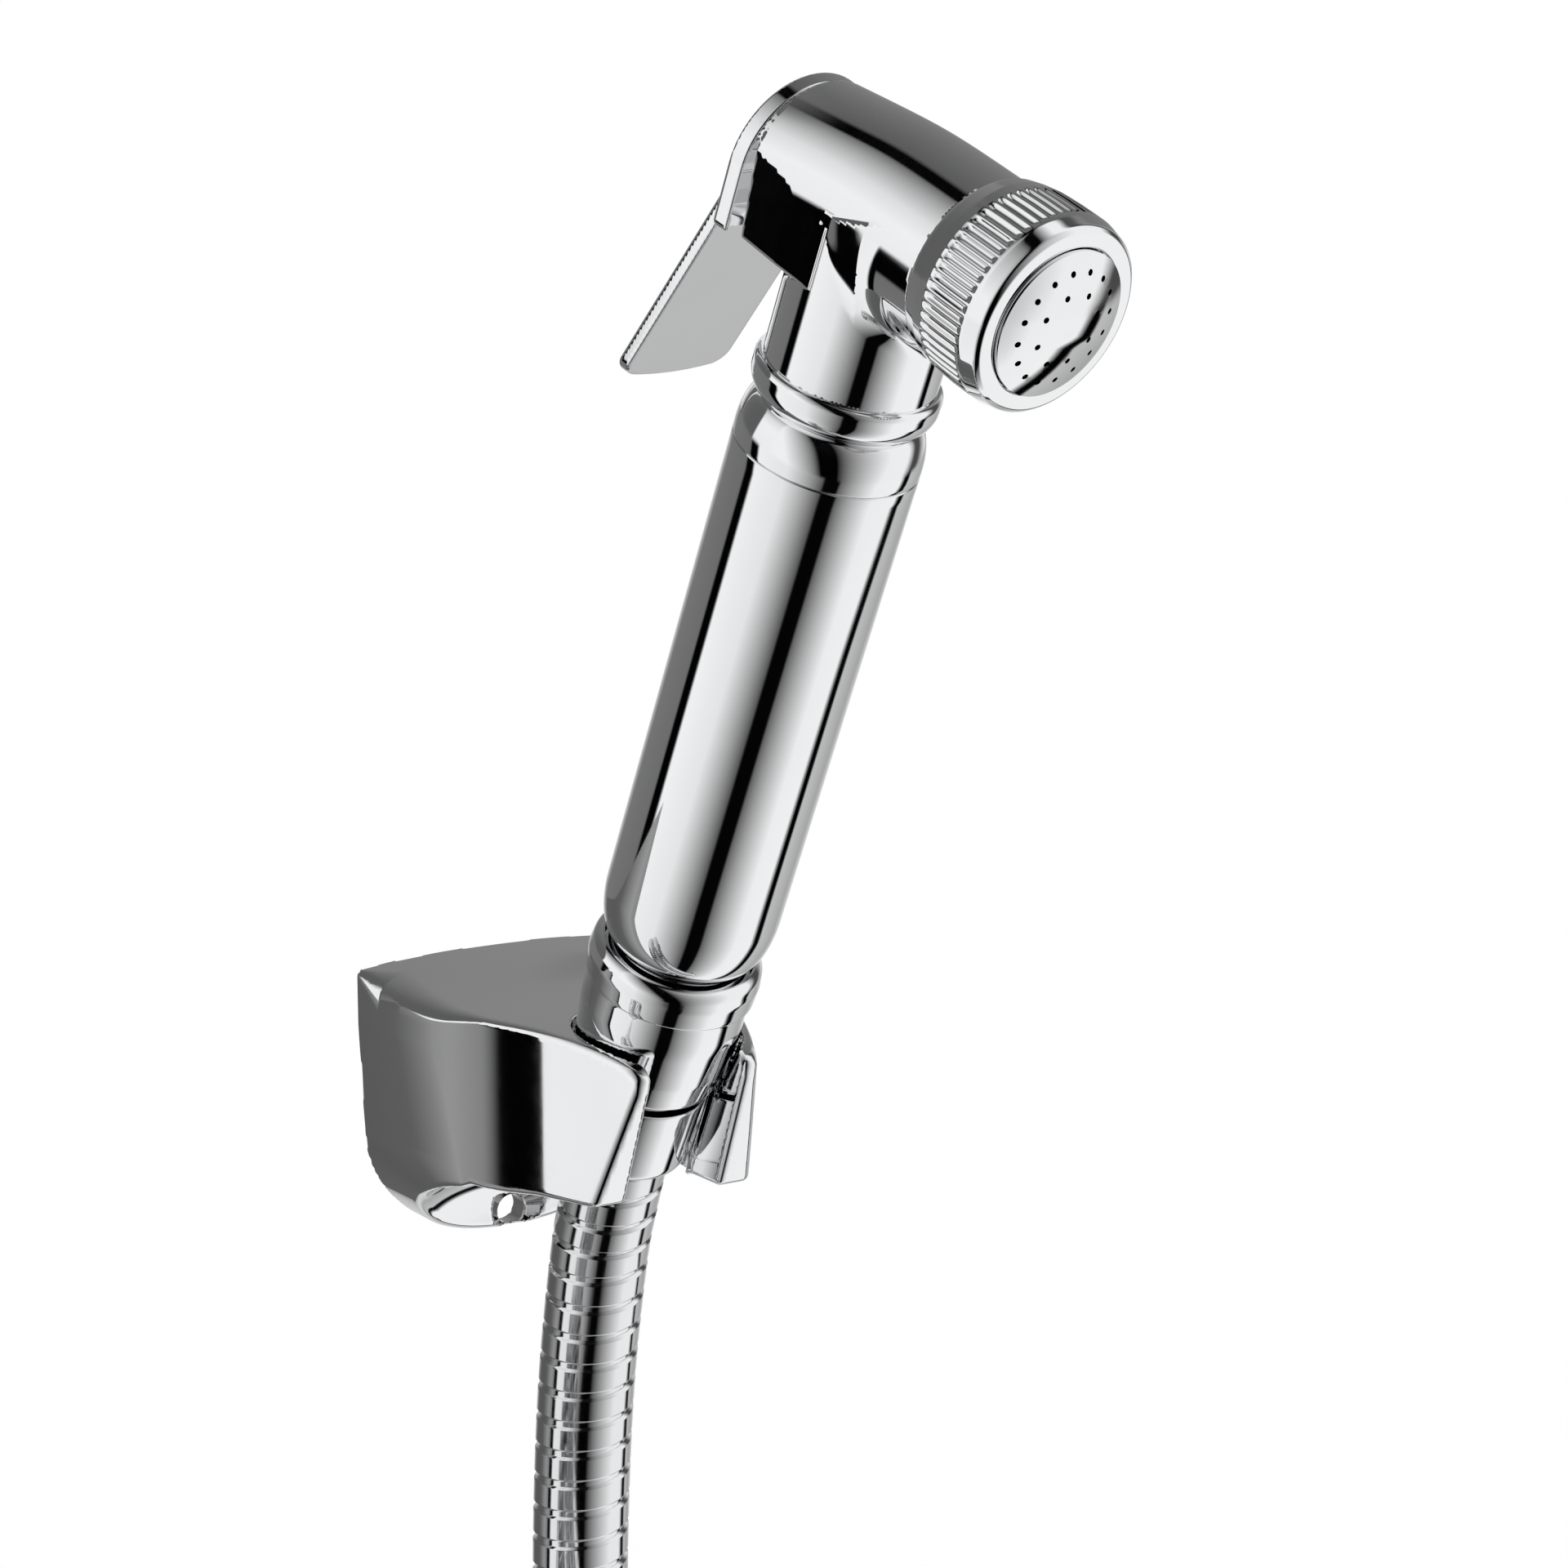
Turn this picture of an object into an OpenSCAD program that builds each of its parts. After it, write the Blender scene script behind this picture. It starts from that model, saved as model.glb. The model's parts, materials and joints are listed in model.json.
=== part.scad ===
// Handheld bidet shower: sprung spray head on a straight handle, armoured hose
// and the wall bracket that holds it.
// Millimetres. The wall is the plane y = 0, the set stands out from it to -Y,
// +Z is up, and the origin is the centre of the bracket's plate on the wall.

/* [Bracket] */
// Width of the wall plate
plate_w = 46.6; // [42:0.2:52]
// Height of the wall plate, arch included
plate_h = 45.4; // [42:0.2:50]
// Distance from the wall to the tips of the fork
fork_reach = 57; // [55:0.5:60]
// Width across the two arms of the fork at the tips
fork_w = 25.2; // [25:0.1:28]
// Height of the fork's top edge above the plate's centre
fork_top = 19.4; // [17:0.2:20]
// Depth of the fork's block from its top edge to its underside
fork_h = 23.9; // [21:0.1:25]
// Thickness of the moulded walls
wall_t = 2.2; // [1.8:0.1:2.6]
// Radius of the screw holes
screw_r = 2.2; // [1.6:0.1:2.4]
// Distance between the two screw holes
screw_pitch = 27; // [25:0.5:28]

/* [Handset in the bracket] */
// Distance of the cradle's seat from the wall
seat_out = 42.6; // [41.5:0.1:43.5]
// Height of the cradle's seat above the plate's centre
seat_up = 12.8; // [12:0.1:13.5]
// Lean of the handset out from the plumb line
lean = 27.15; // [22:0.05:30]
// Turn of the handset about its own handle
turn = 9.4; // [0:0.1:15]
// Width of the slot that lets the hose into the cradle
slot_w = 14.6; // [14.4:0.1:15.6]

/* [Handle and hose nut] */
// Radius of the handle tube
handle_r = 12; // [11.6:0.1:13]
// Length of the handle from the head's seam to the hose nut's top
handle_len = 76.4; // [60:0.2:110]
// Radius of the waist grooves at both ends of the handle
waist_r = 9.6; // [9.5:0.05:9.8]
// Length of the conical hose nut
nut_h = 21; // [20:0.2:24]
// Radius of the G1/2 thread on the handle
thread_r = 10.4; // [10.3:0.02:10.5]

/* [Head] */
// Radius of the barrel
barrel_r = 11.05; // [10.9:0.05:11.5]
// Height of the barrel's axis above the handle seam
axis_h = 32.8; // [30:0.1:36]
// Droop of the barrel's back part
droop = 7.3; // [3:0.1:8]
// Radius of the neck between the collar and the barrel
neck_r = 10.3; // [9.8:0.1:10.6]
// Distance by which the neck stands forward of the handle's axis
neck_shift = 1.6; // [0:0.1:2]
// Distance from the handle's axis to the seam behind the knurled ring
seam_w = 14.8; // [14.5:0.1:17]

/* [Spray] */
// Greatest radius of the knurled ring
ring_r = 12.45; // [12.3:0.05:13.5]
// Length of the knurled ring
ring_len = 13.3; // [12.8:0.1:15]
// Number of grooves round the ring
grooves = 60; // [40:2:72]
// Radius of one groove
groove_r = 0.42; // [0.3:0.02:0.45]
// Radius of the plate's opening in the ring
face_r = 9.4; // [9:0.1:9.5]
// Radius of the sphere that the spray plate is domed to
dome_r = 25; // [20:0.5:40]
// Radius of the inner circle of jets
jets_in_r = 4.5; // [3.5:0.1:5]
// Number of jets in the inner circle
jets_in = 8; // [6:1:10]
// Radius of the outer circle of jets
jets_out_r = 7.05; // [6.5:0.05:7.6]
// Number of jets in the outer circle
jets_out = 16; // [12:1:20]
// Radius of one jet
jet_r = 0.38; // [0.3:0.02:0.6]

/* [Lever] */
// Half width of the paddle
paddle_hw = 8.4; // [7:0.1:9]
// Thickness of the paddle
paddle_t = 1.9; // [1.6:0.1:2.2]
// Length of the paddle below the cap
paddle_len = 35.4; // [28:0.2:40]
// Angle between the paddle and the handle
paddle_tilt = 19.5; // [18:0.5:24]
// Radius of the hinge pin
pin_r = 1.25; // [1:0.05:1.4]

/* [Hose] */
// Radius of the hose
hose_r = 7; // [6.5:0.1:7]
// Radius of the ferrules at both ends of the hose
sleeve_r = 9; // [8.6:0.1:9]
// Length of a ferrule below the nut that it swivels in
sleeve_len = 14; // [10:0.5:18]
// Radius of the coil at the centre of its turns
coil_r = 80; // [72:1:84]
// Width across the flats of the inlet nut
inlet_flats = 24; // [23.6:0.1:27]

/* [Clearances] */
// Gap between a thread and its mate, on the radius
thread_gap = 0.05; // [0.02:0.01:0.1]
// Running gap of the pin, the stem and the seals, on the radius
run_gap = 0.04; // [0.02:0.01:0.08]
// Gap between parts that pass each other
pass_gap = 0.3; // [0.2:0.05:0.5]

/* [Hidden] */
$fn = 72;
eps = 0.01;

chrome = [0.80, 0.81, 0.83];
steel = [0.62, 0.63, 0.65];
brass = [0.78, 0.66, 0.38];
rubber = [0.12, 0.12, 0.13];

// The handset's own frame has its z along the handle, with 0 at the lower edge
// of the hose nut. Heights in it are worked out from the parts stacked on it.
sleeve_in = 4.4;                          // ferrule inside the hose nut
shelf_z = sleeve_in + 0.2;                // shelf in the nut that holds the tail
shelf_t = 2;
flange_t = 1.4;                           // flange of the hose tail
washer_t = 2;
flange_z = shelf_z + shelf_t + 0.05;
washer_z = flange_z + flange_t;
handle_z0 = washer_z + washer_t;          // lower end of the handle's thread
waist_z = nut_h + 0.9;
seam_z = nut_h + 0.6 + handle_len;        // seam between the handle and the head
end_h = 7.6;                              // length of the handle's rounded end
handle_bore = 7.5;
nut_r = 11.8;                             // greatest radius of the hose nut
spigot_r = handle_r - 2.5;
spigot_len = 9;
spigot_gap = 0.05;
oring = 0.7;                              // half thickness of the small O-rings

// The barrel's frame has its z forward along the spray and its y up the handle.
bend_z = 0.85;
rear_e = 15.7;                            // from the bend to the back face
neck_bore = 6;
flat_y = -10;                             // underside of the barrel's back part
bore_r = 4.5;                             // bore drilled from the back
seat_z = 8.5;
seat_r = 3.2;
chamber_r = 8.2;
chamber_z = 19.8;
mouth_r = 9;
spigot_z = 24.5;                          // front end of the head's thread
ring_thread_r = barrel_r - 0.95;
gland_z0 = -10;
pocket_z = -11;                           // floor of the pocket behind the gland
gland_z1 = -5;
gland_slot = 1.2;
stem_r = 1.75;
disc_r = 4.6;
disc_t = 1.4;
seat_washer_t = 1.5;
lift = 0.75;                              // travel left for the valve disc
spring_r = 3.3;
spring_wire = 0.4;
spring_turns = 4.5;
retainer_t = 1.5;
seal_t = 1;
plate_flange = 1.5;

// Lever: a is the distance behind the handle's axis.
pin_a = 13;
pin_y = 5.5;
cap_r = barrel_r + 0.35;
cap_wall = 0.9;
cap_front = 16.25;
cap_back = 19.3;
cap_plate = 1.9;
bend_y = -4.6;                            // where the paddle leaves the cap
lug_w = 5;
stem_back = 16;

ring_z0 = seam_w + 0.2;
ring_z1 = seam_w + ring_len + 0.2;
lip_t = 1.25;
flange_zf = spigot_z + seal_t;            // back of the spray plate's flange
dome_edge = ring_z1 + 0.5;
dome_z = dome_edge - sqrt(pow(dome_r, 2) - pow(face_r - 0.1, 2));

// Bracket outlines. d is the distance from the wall.
plate_hw = plate_w / 2;
plate_low = -22.4;
arch_r = 131;
fork_hw = fork_w / 2;
fork_low = fork_top - fork_h;
flare_from = 4;                           // where the plan starts to narrow
flare_len = 51;
cavity_out = 27;                          // depth of the hollow back
cradle_r = 12;                            // cradle at its top
ledge_r = 9.75;                           // cradle below the seat
tip_slope = 0.56;
scoop_hw = 11;                            // half width of the scoop
scoop_r = 15.8;
scoop_out = 21;
scoop_z = -21.5;
screw_z = [-17.5, -17.5 + screw_pitch];
screw_land = 5.7;                         // depth of the holes for the screws' shanks
driver_r = 4.2;

// Hose route: from the ferrule to the coil, then from the coil to the inlet.
hose_route = [
    [0, -36.7, 1.2], [0, -32.6, -8.8], [0, -29.5, -18.3], [0, -25.5, -39],
    [0, -23.4, -64], [0, -23.4, -90], [0, -23.4, -118], [0, -23.4, -140]
];
tail_route = [[0, -52.6, -140], [0, -52.6, -165], [0, -52.6, -191]];
coil_z = -140;
coil_y = -38;                             // middle of the coil's two turns
coil_half = 14.6;
tail_y = -52.6;
tail_z = -190;                            // lower edge of the inlet ferrule's hose
hose_bore = 3.5;
inlet_h = 18;

// Handset: z runs up the handle from the lower edge of the hose nut.
module handset() {
    translate([0, -seat_out, seat_up])
        rotate([lean, 0, 0])
            rotate([0, 0, turn])
                children();
}

// Seam: z runs up from the seam between the handle and the head.
module seam() {
    handset()
        translate([0, 0, seam_z])
            children();
}

// Barrel: z runs forward along the spray, y up the handle.
module barrel() {
    seam()
        translate([0, 0, axis_h])
            rotate([90, 0, 0])
                children();
}

// Back part of the barrel: z runs along the drooping axis from the bend.
module drooped() {
    translate([0, 0, bend_z])
        rotate([-droop, 0, 0])
            children();
}

// Inlet: z runs up the hose from the mouth of the inlet nut.
module inlet() {
    translate([0, tail_y, tail_z - sleeve_len - inlet_h])
        children();
}

module ring(r_out, r_in, h) {
    difference() {
        cylinder(h = h, r = r_out);
        translate([0, 0, -1])
            cylinder(h = h + 2, r = r_in);
    }
}

module torus(major, minor) {
    rotate_extrude()
        translate([major, 0])
            circle(r = minor, $fn = 32);
}

// Points of a quarter ellipse from [r + dr, z] to [r, z + dz].
function quarter(r, dr, z, dz, n = 8) =
    [for (i = [0:n]) [r + dr * cos(90 * i / n), z + dz * sin(90 * i / n)]];

function reversed(l) = [for (i = [len(l) - 1:-1:0]) l[i]];

// Half width of the bracket in plan at a distance d from the wall.
function plan_hw(d, t) =
    fork_hw - t + (plate_hw - fork_hw)
        * (1 + cos(180 * max(0, min(1, (d - flare_from) / flare_len)))) / 2;

// Front outline: arched top, upright sides and a round bottom.
module front_outline(t) {
    low = plate_low + t;
    top = plate_low + plate_h - t;
    hw = plate_hw - t;
    hip_z = -2.5;
    hip_w = hw - 1.2;
    arch = [for (x = [-hw + 2.5:(2 * hw - 5) / 12:hw - 2.4])
        [x, top - arch_r + sqrt(pow(arch_r, 2) - pow(x, 2))]];
    bowl = [for (i = [0:24])
        [hip_w * cos(180 * i / 24), hip_z - (hip_z - low) * sin(180 * i / 24)]];
    polygon(concat(
        arch,
        [[hw - 0.7, top - 2.9], [hw, top - 4.6], [hw, top - 10 + t]],
        bowl,
        [[-hw, top - 10 + t], [-hw, top - 4.6], [-hw + 0.7, top - 2.9]]
    ));
}

// Plan outline: narrows in an S from the plate to the fork's tips.
module plan_outline(t, reach) {
    tip = 3.2;
    side = [for (d = [0:reach / 18:reach - tip]) [plan_hw(d, t), -d]];
    hw = plan_hw(reach, t);
    nose = [for (i = [0:6])
        [hw - tip + tip * cos(15 * i), -(reach - tip) - tip * sin(15 * i)]];
    half = concat(side, nose);
    polygon(concat(half, [for (p = reversed(half)) [-p[0], p[1]]]));
}

// Side outline: level top that falls to the tips, front edge along the handle,
// and an underside that sweeps back down to the plate's foot.
module side_outline(t, reach) {
    top = fork_top - t;
    low = fork_low + t;
    tip_z = top - 5.4;
    nose = [for (i = [0:8])
        [-(reach - 22) - 22 * sin(11.25 * i), tip_z + 5.4 * cos(11.25 * i)]];
    foot = [for (i = [0:8])
        [-(5 - t) - 22 * cos(11.25 * i), low - (low - plate_low - t) * sin(11.25 * i)]];
    crown = [for (i = [0:8])
        [-3 * i, top + (plate_low + plate_h - t - top) * (1 + cos(22.5 * i)) / 2]];
    polygon(concat(
        [[0, plate_low + t]],
        crown,
        nose,
        [[-(reach - tip_slope * (tip_z - low)), low]],
        foot
    ));
}

module bracket_form(t, reach) {
    intersection() {
        rotate([90, 0, 0])
            linear_extrude(height = reach)
                front_outline(t);
        translate([0, 0, -40])
            linear_extrude(height = 80)
                plan_outline(t, reach);
        rotate([90, 0, 90])
            translate([0, 0, -40])
                linear_extrude(height = 80)
                    side_outline(t, reach);
    }
}

module bracket() {
    color(chrome)
    difference() {
        union() {
            difference() {
                bracket_form(0, fork_reach);
                bracket_hollow();
            }
            intersection() {
                bracket_form(1, fork_reach);
                bracket_ribs();
            }
        }
        cradle(0);
        // slot for the hose
        translate([-slot_w / 2, -fork_reach - 5, -40])
            cube([slot_w, fork_reach + 5 - seat_out, 80]);
        scoop(0);
        for (z = screw_z)
            translate([0, 1, z])
                rotate([90, 0, 0])
                    cylinder(h = 60, r = screw_r);
        // way for the upper screw's head and its driver, from the cradle
        translate([0, -screw_land, screw_z[1]])
            rotate([90, 0, 0])
                cylinder(h = 60, r = driver_r);
    }
}

// Hollow back, which leaves a wall round the cradle and the scoop.
module bracket_hollow() {
    difference() {
        intersection() {
            translate([0, 1, 0])
                bracket_form(wall_t, cavity_out + 1);
            translate([-40, -cavity_out, -40])
                cube([80, cavity_out + 2, 80]);
        }
        cradle(wall_t);
        scoop(wall_t);
    }
}

// Screw bosses and ribs in the hollow.
module bracket_ribs() {
    for (i = [0:1])
        translate([0, 0, screw_z[i]])
            rotate([90, 0, 0])
                cylinder(h = cavity_out + 1, r = i == 0 ? screw_r + 2.4 : driver_r + 1.8);
    for (x = [-12, 12])
        translate([x - 0.7, -cavity_out - 1, -5])
            cube([1.4, cavity_out, 30]);
    translate([-30, -cavity_out - 1, -1.7])
        cube([60, cavity_out - 4, 1.4]);
}

// Cradle: a cone above the seat and a clear way for the hose below it.
module cradle(t) {
    handset() {
        translate([0, 0, -t])
            cylinder(h = 9 + t, r1 = 10.7 + t, r2 = cradle_r + t);
        translate([0, 0, 9 - eps])
            cylinder(h = 30, r = cradle_r + t);
        translate([0, 0, -50])
            cylinder(h = 60, r = ledge_r + t);
    }
}

// Scoop round the lower screw, swept from a bowl-shaped outline.
module scoop(t) {
    hw = scoop_hw + t;
    r = scoop_r + t;
    translate([0, -scoop_out, scoop_z])
        rotate([0, 90, 0])
            rotate_extrude()
                polygon(concat(
                    [[0, -hw]],
                    [for (i = [1:15]) [
                        r * pow(1 - pow(abs(cos(11.25 * i)), 4), 0.5),
                        -hw * cos(11.25 * i)
                    ]],
                    [[0, hw]]
                ));
}

module head_body() {
    color(chrome)
    union() {
        head_collar();
        difference() {
            union() {
                head_barrel();
                seam()
                    translate([0, -neck_shift, 11])
                        cylinder(h = axis_h - 11, r = neck_r);
            }
            // water way up the neck
            seam()
                translate([0, 0, 5])
                    cylinder(h = axis_h - 4, r = neck_bore);
            barrel()
                head_bores();
        }
    }
}

module head_bores() {
    // bore for the gland, open to the back
    translate([0, 0, -20])
        cylinder(h = 22, r = bore_r);
    // seat, spring chamber and mouth
    cylinder(h = seat_z + 1, r = seat_r);
    translate([0, 0, seat_z])
        cylinder(h = 30, r = chamber_r);
    translate([0, 0, chamber_z])
        cylinder(h = 30, r = mouth_r);
    // pocket behind the gland for the lever's lug and pusher
    translate([0, 0, -20])
        cylinder(h = 20 + pocket_z, r = 6);
    translate([-lug_w / 2 - pass_gap, -3, -20])
        cube([lug_w + 2 * pass_gap, pin_y + 6.2, 11]);
    // hinge pin hole, open on the right
    translate([-7, pin_y, -pin_a])
        rotate([0, 90, 0])
            cylinder(h = 20, r = pin_r);
}

// Spigot, shoulder, waist and collar on the handle's axis.
module head_collar() {
    seam()
        difference() {
            rotate_extrude()
                polygon(concat(
                    [[neck_bore, -spigot_len], [spigot_r - 0.6, -spigot_len],
                     [spigot_r, -spigot_len + 0.6], [spigot_r, 0], [handle_r, 0]],
                    quarter(waist_r, handle_r - waist_r, 1.2, 4.0),
                    [for (i = [7:-1:0]) quarter(waist_r, 2.0, 8.0, -2.8)[i]],
                    [[handle_r - 0.2, 8.3], [handle_r - 0.2, 10.7],
                     [handle_r - 0.1, 11.0], [handle_r - 0.3, 11.3],
                     [neck_bore, 11.3]]
                ));
            // groove for the neck seal
            translate([0, 0, -6])
                ring(spigot_r + 1, spigot_r - 1.4, 1.6);
        }
}

// Straight front part, bent middle, and a back part with a flat underside.
module head_barrel() {
    barrel() {
        translate([0, 0, bend_z])
            cylinder(h = seam_w - bend_z, r = barrel_r);
        translate([0, 0, bend_z])
            sphere(r = barrel_r);
        translate([0, 0, seam_w - eps])
            cylinder(h = spigot_z - seam_w + eps, r = ring_thread_r);
        intersection() {
            union() {
                drooped()
                    translate([0, 0, -rear_e])
                        cylinder(h = rear_e, r = barrel_r);
                translate([-barrel_r, flat_y, -rear_e - 2])
                    cube([2 * barrel_r, -flat_y - 1.5, rear_e + 0.4]);
            }
            drooped()
                translate([-20, -20, -rear_e])
                    cube([40, 40, 40]);
        }
    }
}

module handle() {
    color(chrome)
    handset()
        difference() {
            rotate_extrude()
                polygon(concat(
                    [[0, handle_z0], [thread_r - 0.6, handle_z0],
                     [thread_r, handle_z0 + 0.6], [thread_r, nut_h - 2.2],
                     [waist_r, nut_h - 1.6], [waist_r, waist_z]],
                    [for (i = [1:8]) [
                        waist_r + (handle_r - waist_r) * sin(11.25 * i),
                        waist_z + end_h * (1 - cos(11.25 * i))
                    ]],
                    [[handle_r, seam_z - 0.15], [handle_r - 0.15, seam_z],
                     [0, seam_z]]
                ));
            translate([0, 0, handle_z0 - 1])
                cylinder(h = seam_z, r = handle_bore);
            translate([0, 0, seam_z - spigot_len - pass_gap])
                cylinder(h = 20, r = spigot_r + spigot_gap);
        }
}

module neck_seal() {
    color(rubber)
    seam()
        translate([0, 0, -5.2])
            torus(spigot_r + spigot_gap - oring - 0.01, oring);
}

module knurled_ring() {
    color(chrome)
    barrel()
        difference() {
            rotate_extrude()
                polygon([
                    [face_r, ring_z1],
                    [face_r, ring_z1 - lip_t],
                    [ring_thread_r + thread_gap, ring_z1 - lip_t],
                    [ring_thread_r + thread_gap, ring_z0],
                    [barrel_r + 0.35, ring_z0],
                    [barrel_r + 0.55, ring_z0 + 0.3],
                    [ring_r - 0.45, ring_z0 + 2.2],
                    [ring_r - 0.15, ring_z0 + 4.2],
                    [ring_r, ring_z0 + 7],
                    [ring_r - 0.1, ring_z1 - 2.8],
                    [ring_r - 0.25, ring_z1 - 1.4],
                    [ring_r - 0.5, ring_z1 - 0.5],
                    [ring_r - 0.95, ring_z1]
                ]);
            for (i = [0:grooves - 1])
                rotate([0, 0, 360 * i / grooves])
                    translate([ring_r, 0, ring_z0 + 4.3])
                        groove(ring_len - 7.6);
        }
}

// Round-ended rod that cuts one groove.
module groove(l) {
    rotate_extrude($fn = 24)
        intersection() {
            union() {
                translate([0, groove_r])
                    circle(r = groove_r);
                translate([0, groove_r])
                    square([groove_r, l - 2 * groove_r]);
                translate([0, l - groove_r])
                    circle(r = groove_r);
            }
            square([groove_r, l]);
        }
}

module spray_plate() {
    color(chrome)
    barrel()
        difference() {
            union() {
                translate([0, 0, flange_zf])
                    cylinder(h = plate_flange, r = ring_thread_r - 0.1);
                intersection() {
                    translate([0, 0, dome_z])
                        sphere(r = dome_r);
                    translate([0, 0, flange_zf])
                        cylinder(h = 10, r = face_r - 0.1);
                }
            }
            // water side
            intersection() {
                translate([0, 0, dome_z])
                    sphere(r = dome_r - 1.6);
                translate([0, 0, flange_zf - 1])
                    cylinder(h = 10, r = face_r - 1.4);
            }
            jets(jets_in, jets_in_r, 22.5);
            jets(jets_out, jets_out_r, 180 / jets_out);
        }
}

module jets(n, r, from) {
    for (i = [0:n - 1])
        rotate([0, 0, from + 360 * i / n])
            translate([r, 0, flange_zf - 1])
                cylinder(h = 10, r = jet_r);
}

module face_seal() {
    color(rubber)
    barrel()
        translate([0, 0, spigot_z])
            ring(ring_thread_r - 0.15, mouth_r - 0.6, seal_t);
}

module spring_retainer() {
    color(steel)
    barrel()
        translate([0, 0, chamber_z])
            difference() {
                cylinder(h = retainer_t, r = mouth_r - run_gap);
                for (i = [0:5])
                    rotate([0, 0, 60 * i])
                        translate([5.6, 0, -1])
                            cylinder(h = retainer_t + 2, r = 1.7);
                translate([0, 0, -1])
                    cylinder(h = retainer_t + 2, r = 1.4);
            }
}

module valve_stem() {
    color(brass)
    barrel() {
        translate([0, 0, -stem_back])
            cylinder(h = stem_back + seat_z + seat_washer_t + 4.4, r = stem_r);
        translate([0, 0, seat_z + seat_washer_t])
            cylinder(h = disc_t, r = disc_r);
    }
}

module valve_washer() {
    color(rubber)
    barrel()
        translate([0, 0, seat_z + 0.03])
            ring(disc_r - 0.1, stem_r, seat_washer_t - 0.03);
}

// Closing spring: a ring swept along a helix between the disc and the retainer.
module valve_spring() {
    z0 = seat_z + seat_washer_t + disc_t + lift + spring_wire + 0.1;
    z1 = chamber_z - spring_wire - 0.02;
    steps = 24;
    sides = 8;
    n = ceil(spring_turns * steps);
    color(steel)
    barrel()
        polyhedron(
            points = [for (i = [0:n], k = [0:sides - 1])
                let (
                    a = 360 * i / steps,
                    b = 360 * k / sides,
                    r = spring_r + spring_wire * cos(b),
                    z = z0 + (z1 - z0) * i / n + spring_wire * sin(b)
                )
                [r * cos(a), r * sin(a), z]],
            faces = tube_faces(n, sides, false)
        );
}

// Faces of a tube of n + 1 rings with closed ends.
function tube_faces(n, sides, flip) = concat(
    [[for (k = [0:sides - 1]) flip ? sides - 1 - k : k]],
    [for (i = [0:n - 1], k = [0:sides - 1])
        let (
            a = i * sides + k,
            b = i * sides + (k + 1) % sides,
            c = b + sides,
            d = a + sides
        )
        flip ? [a, b, c, d] : [d, c, b, a]],
    [[for (k = [0:sides - 1]) n * sides + (flip ? k : sides - 1 - k)]]
);

module gland_nut() {
    color(brass)
    barrel()
        difference() {
            translate([0, 0, gland_z0])
                cylinder(h = gland_z1 - gland_z0, r = bore_r - thread_gap);
            translate([0, 0, gland_z0 - 1])
                cylinder(h = 20, r = stem_r + run_gap);
            // screwdriver slot
            translate([-10, -gland_slot / 2, gland_z0 - 1])
                cube([20, gland_slot, 2]);
            translate([0, 0, gland_z1 - 2])
                cylinder(h = 3, r = stem_r + 2 * oring);
        }
}

module stem_seal() {
    color(rubber)
    barrel()
        translate([0, 0, gland_z1 - 1.1])
            torus(stem_r + oring + 0.02, oring - 0.03);
}

module hinge_pin() {
    color(steel)
    barrel()
        translate([-7, pin_y, -pin_a])
            rotate([0, 90, 0])
                cylinder(h = 14.6, r = pin_r);
}

// Outline of the lever seen from behind.
module lever_outline(t) {
    low = flat_y - 0.6;
    foot = bend_y - paddle_len;
    corner = 3;
    cap_c = -tan(droop) * cap_back;
    polygon(concat(
        [for (i = [0:24])
            [(cap_r - t) * cos(7.5 * i), cap_c + (cap_r - t) * sin(7.5 * i)]],
        [[-cap_r + t, low + 1.6], [-cap_r + t + 0.5, low + 0.5],
         [-cap_r + t + 1.4, low], [-paddle_hw - 0.4 + t, low - 0.2],
         [-paddle_hw + t, low - 0.8], [-paddle_hw + t, foot + 2.4 + corner]],
        [for (i = [1:5])
            [-paddle_hw + corner - corner * cos(16 * i) + t,
             foot + 2.4 + corner - corner * sin(16 * i)]],
        [for (i = [-4:4])
            [i * (paddle_hw - corner) / 4.6, foot + 2.0 * pow(i / 4.6, 2)]],
        [for (i = [5:-1:1])
            [paddle_hw - corner + corner * cos(16 * i) - t,
             foot + 2.4 + corner - corner * sin(16 * i)]],
        [[paddle_hw - t, foot + 2.4 + corner], [paddle_hw - t, low - 0.8],
         [paddle_hw + 0.4 - t, low - 0.2], [cap_r - t - 1.4, low],
         [cap_r - t - 0.5, low + 0.5], [cap_r - t, low + 1.6]]
    ));
}

// Outer face of the lever in side view, as distance behind the handle's axis.
function lever_back(y) =
    y > bend_y ? cap_back - 0.2 + 0.02 * (y - bend_y)
               : cap_back - 0.2 + tan(paddle_tilt) * (bend_y - y);

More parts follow.
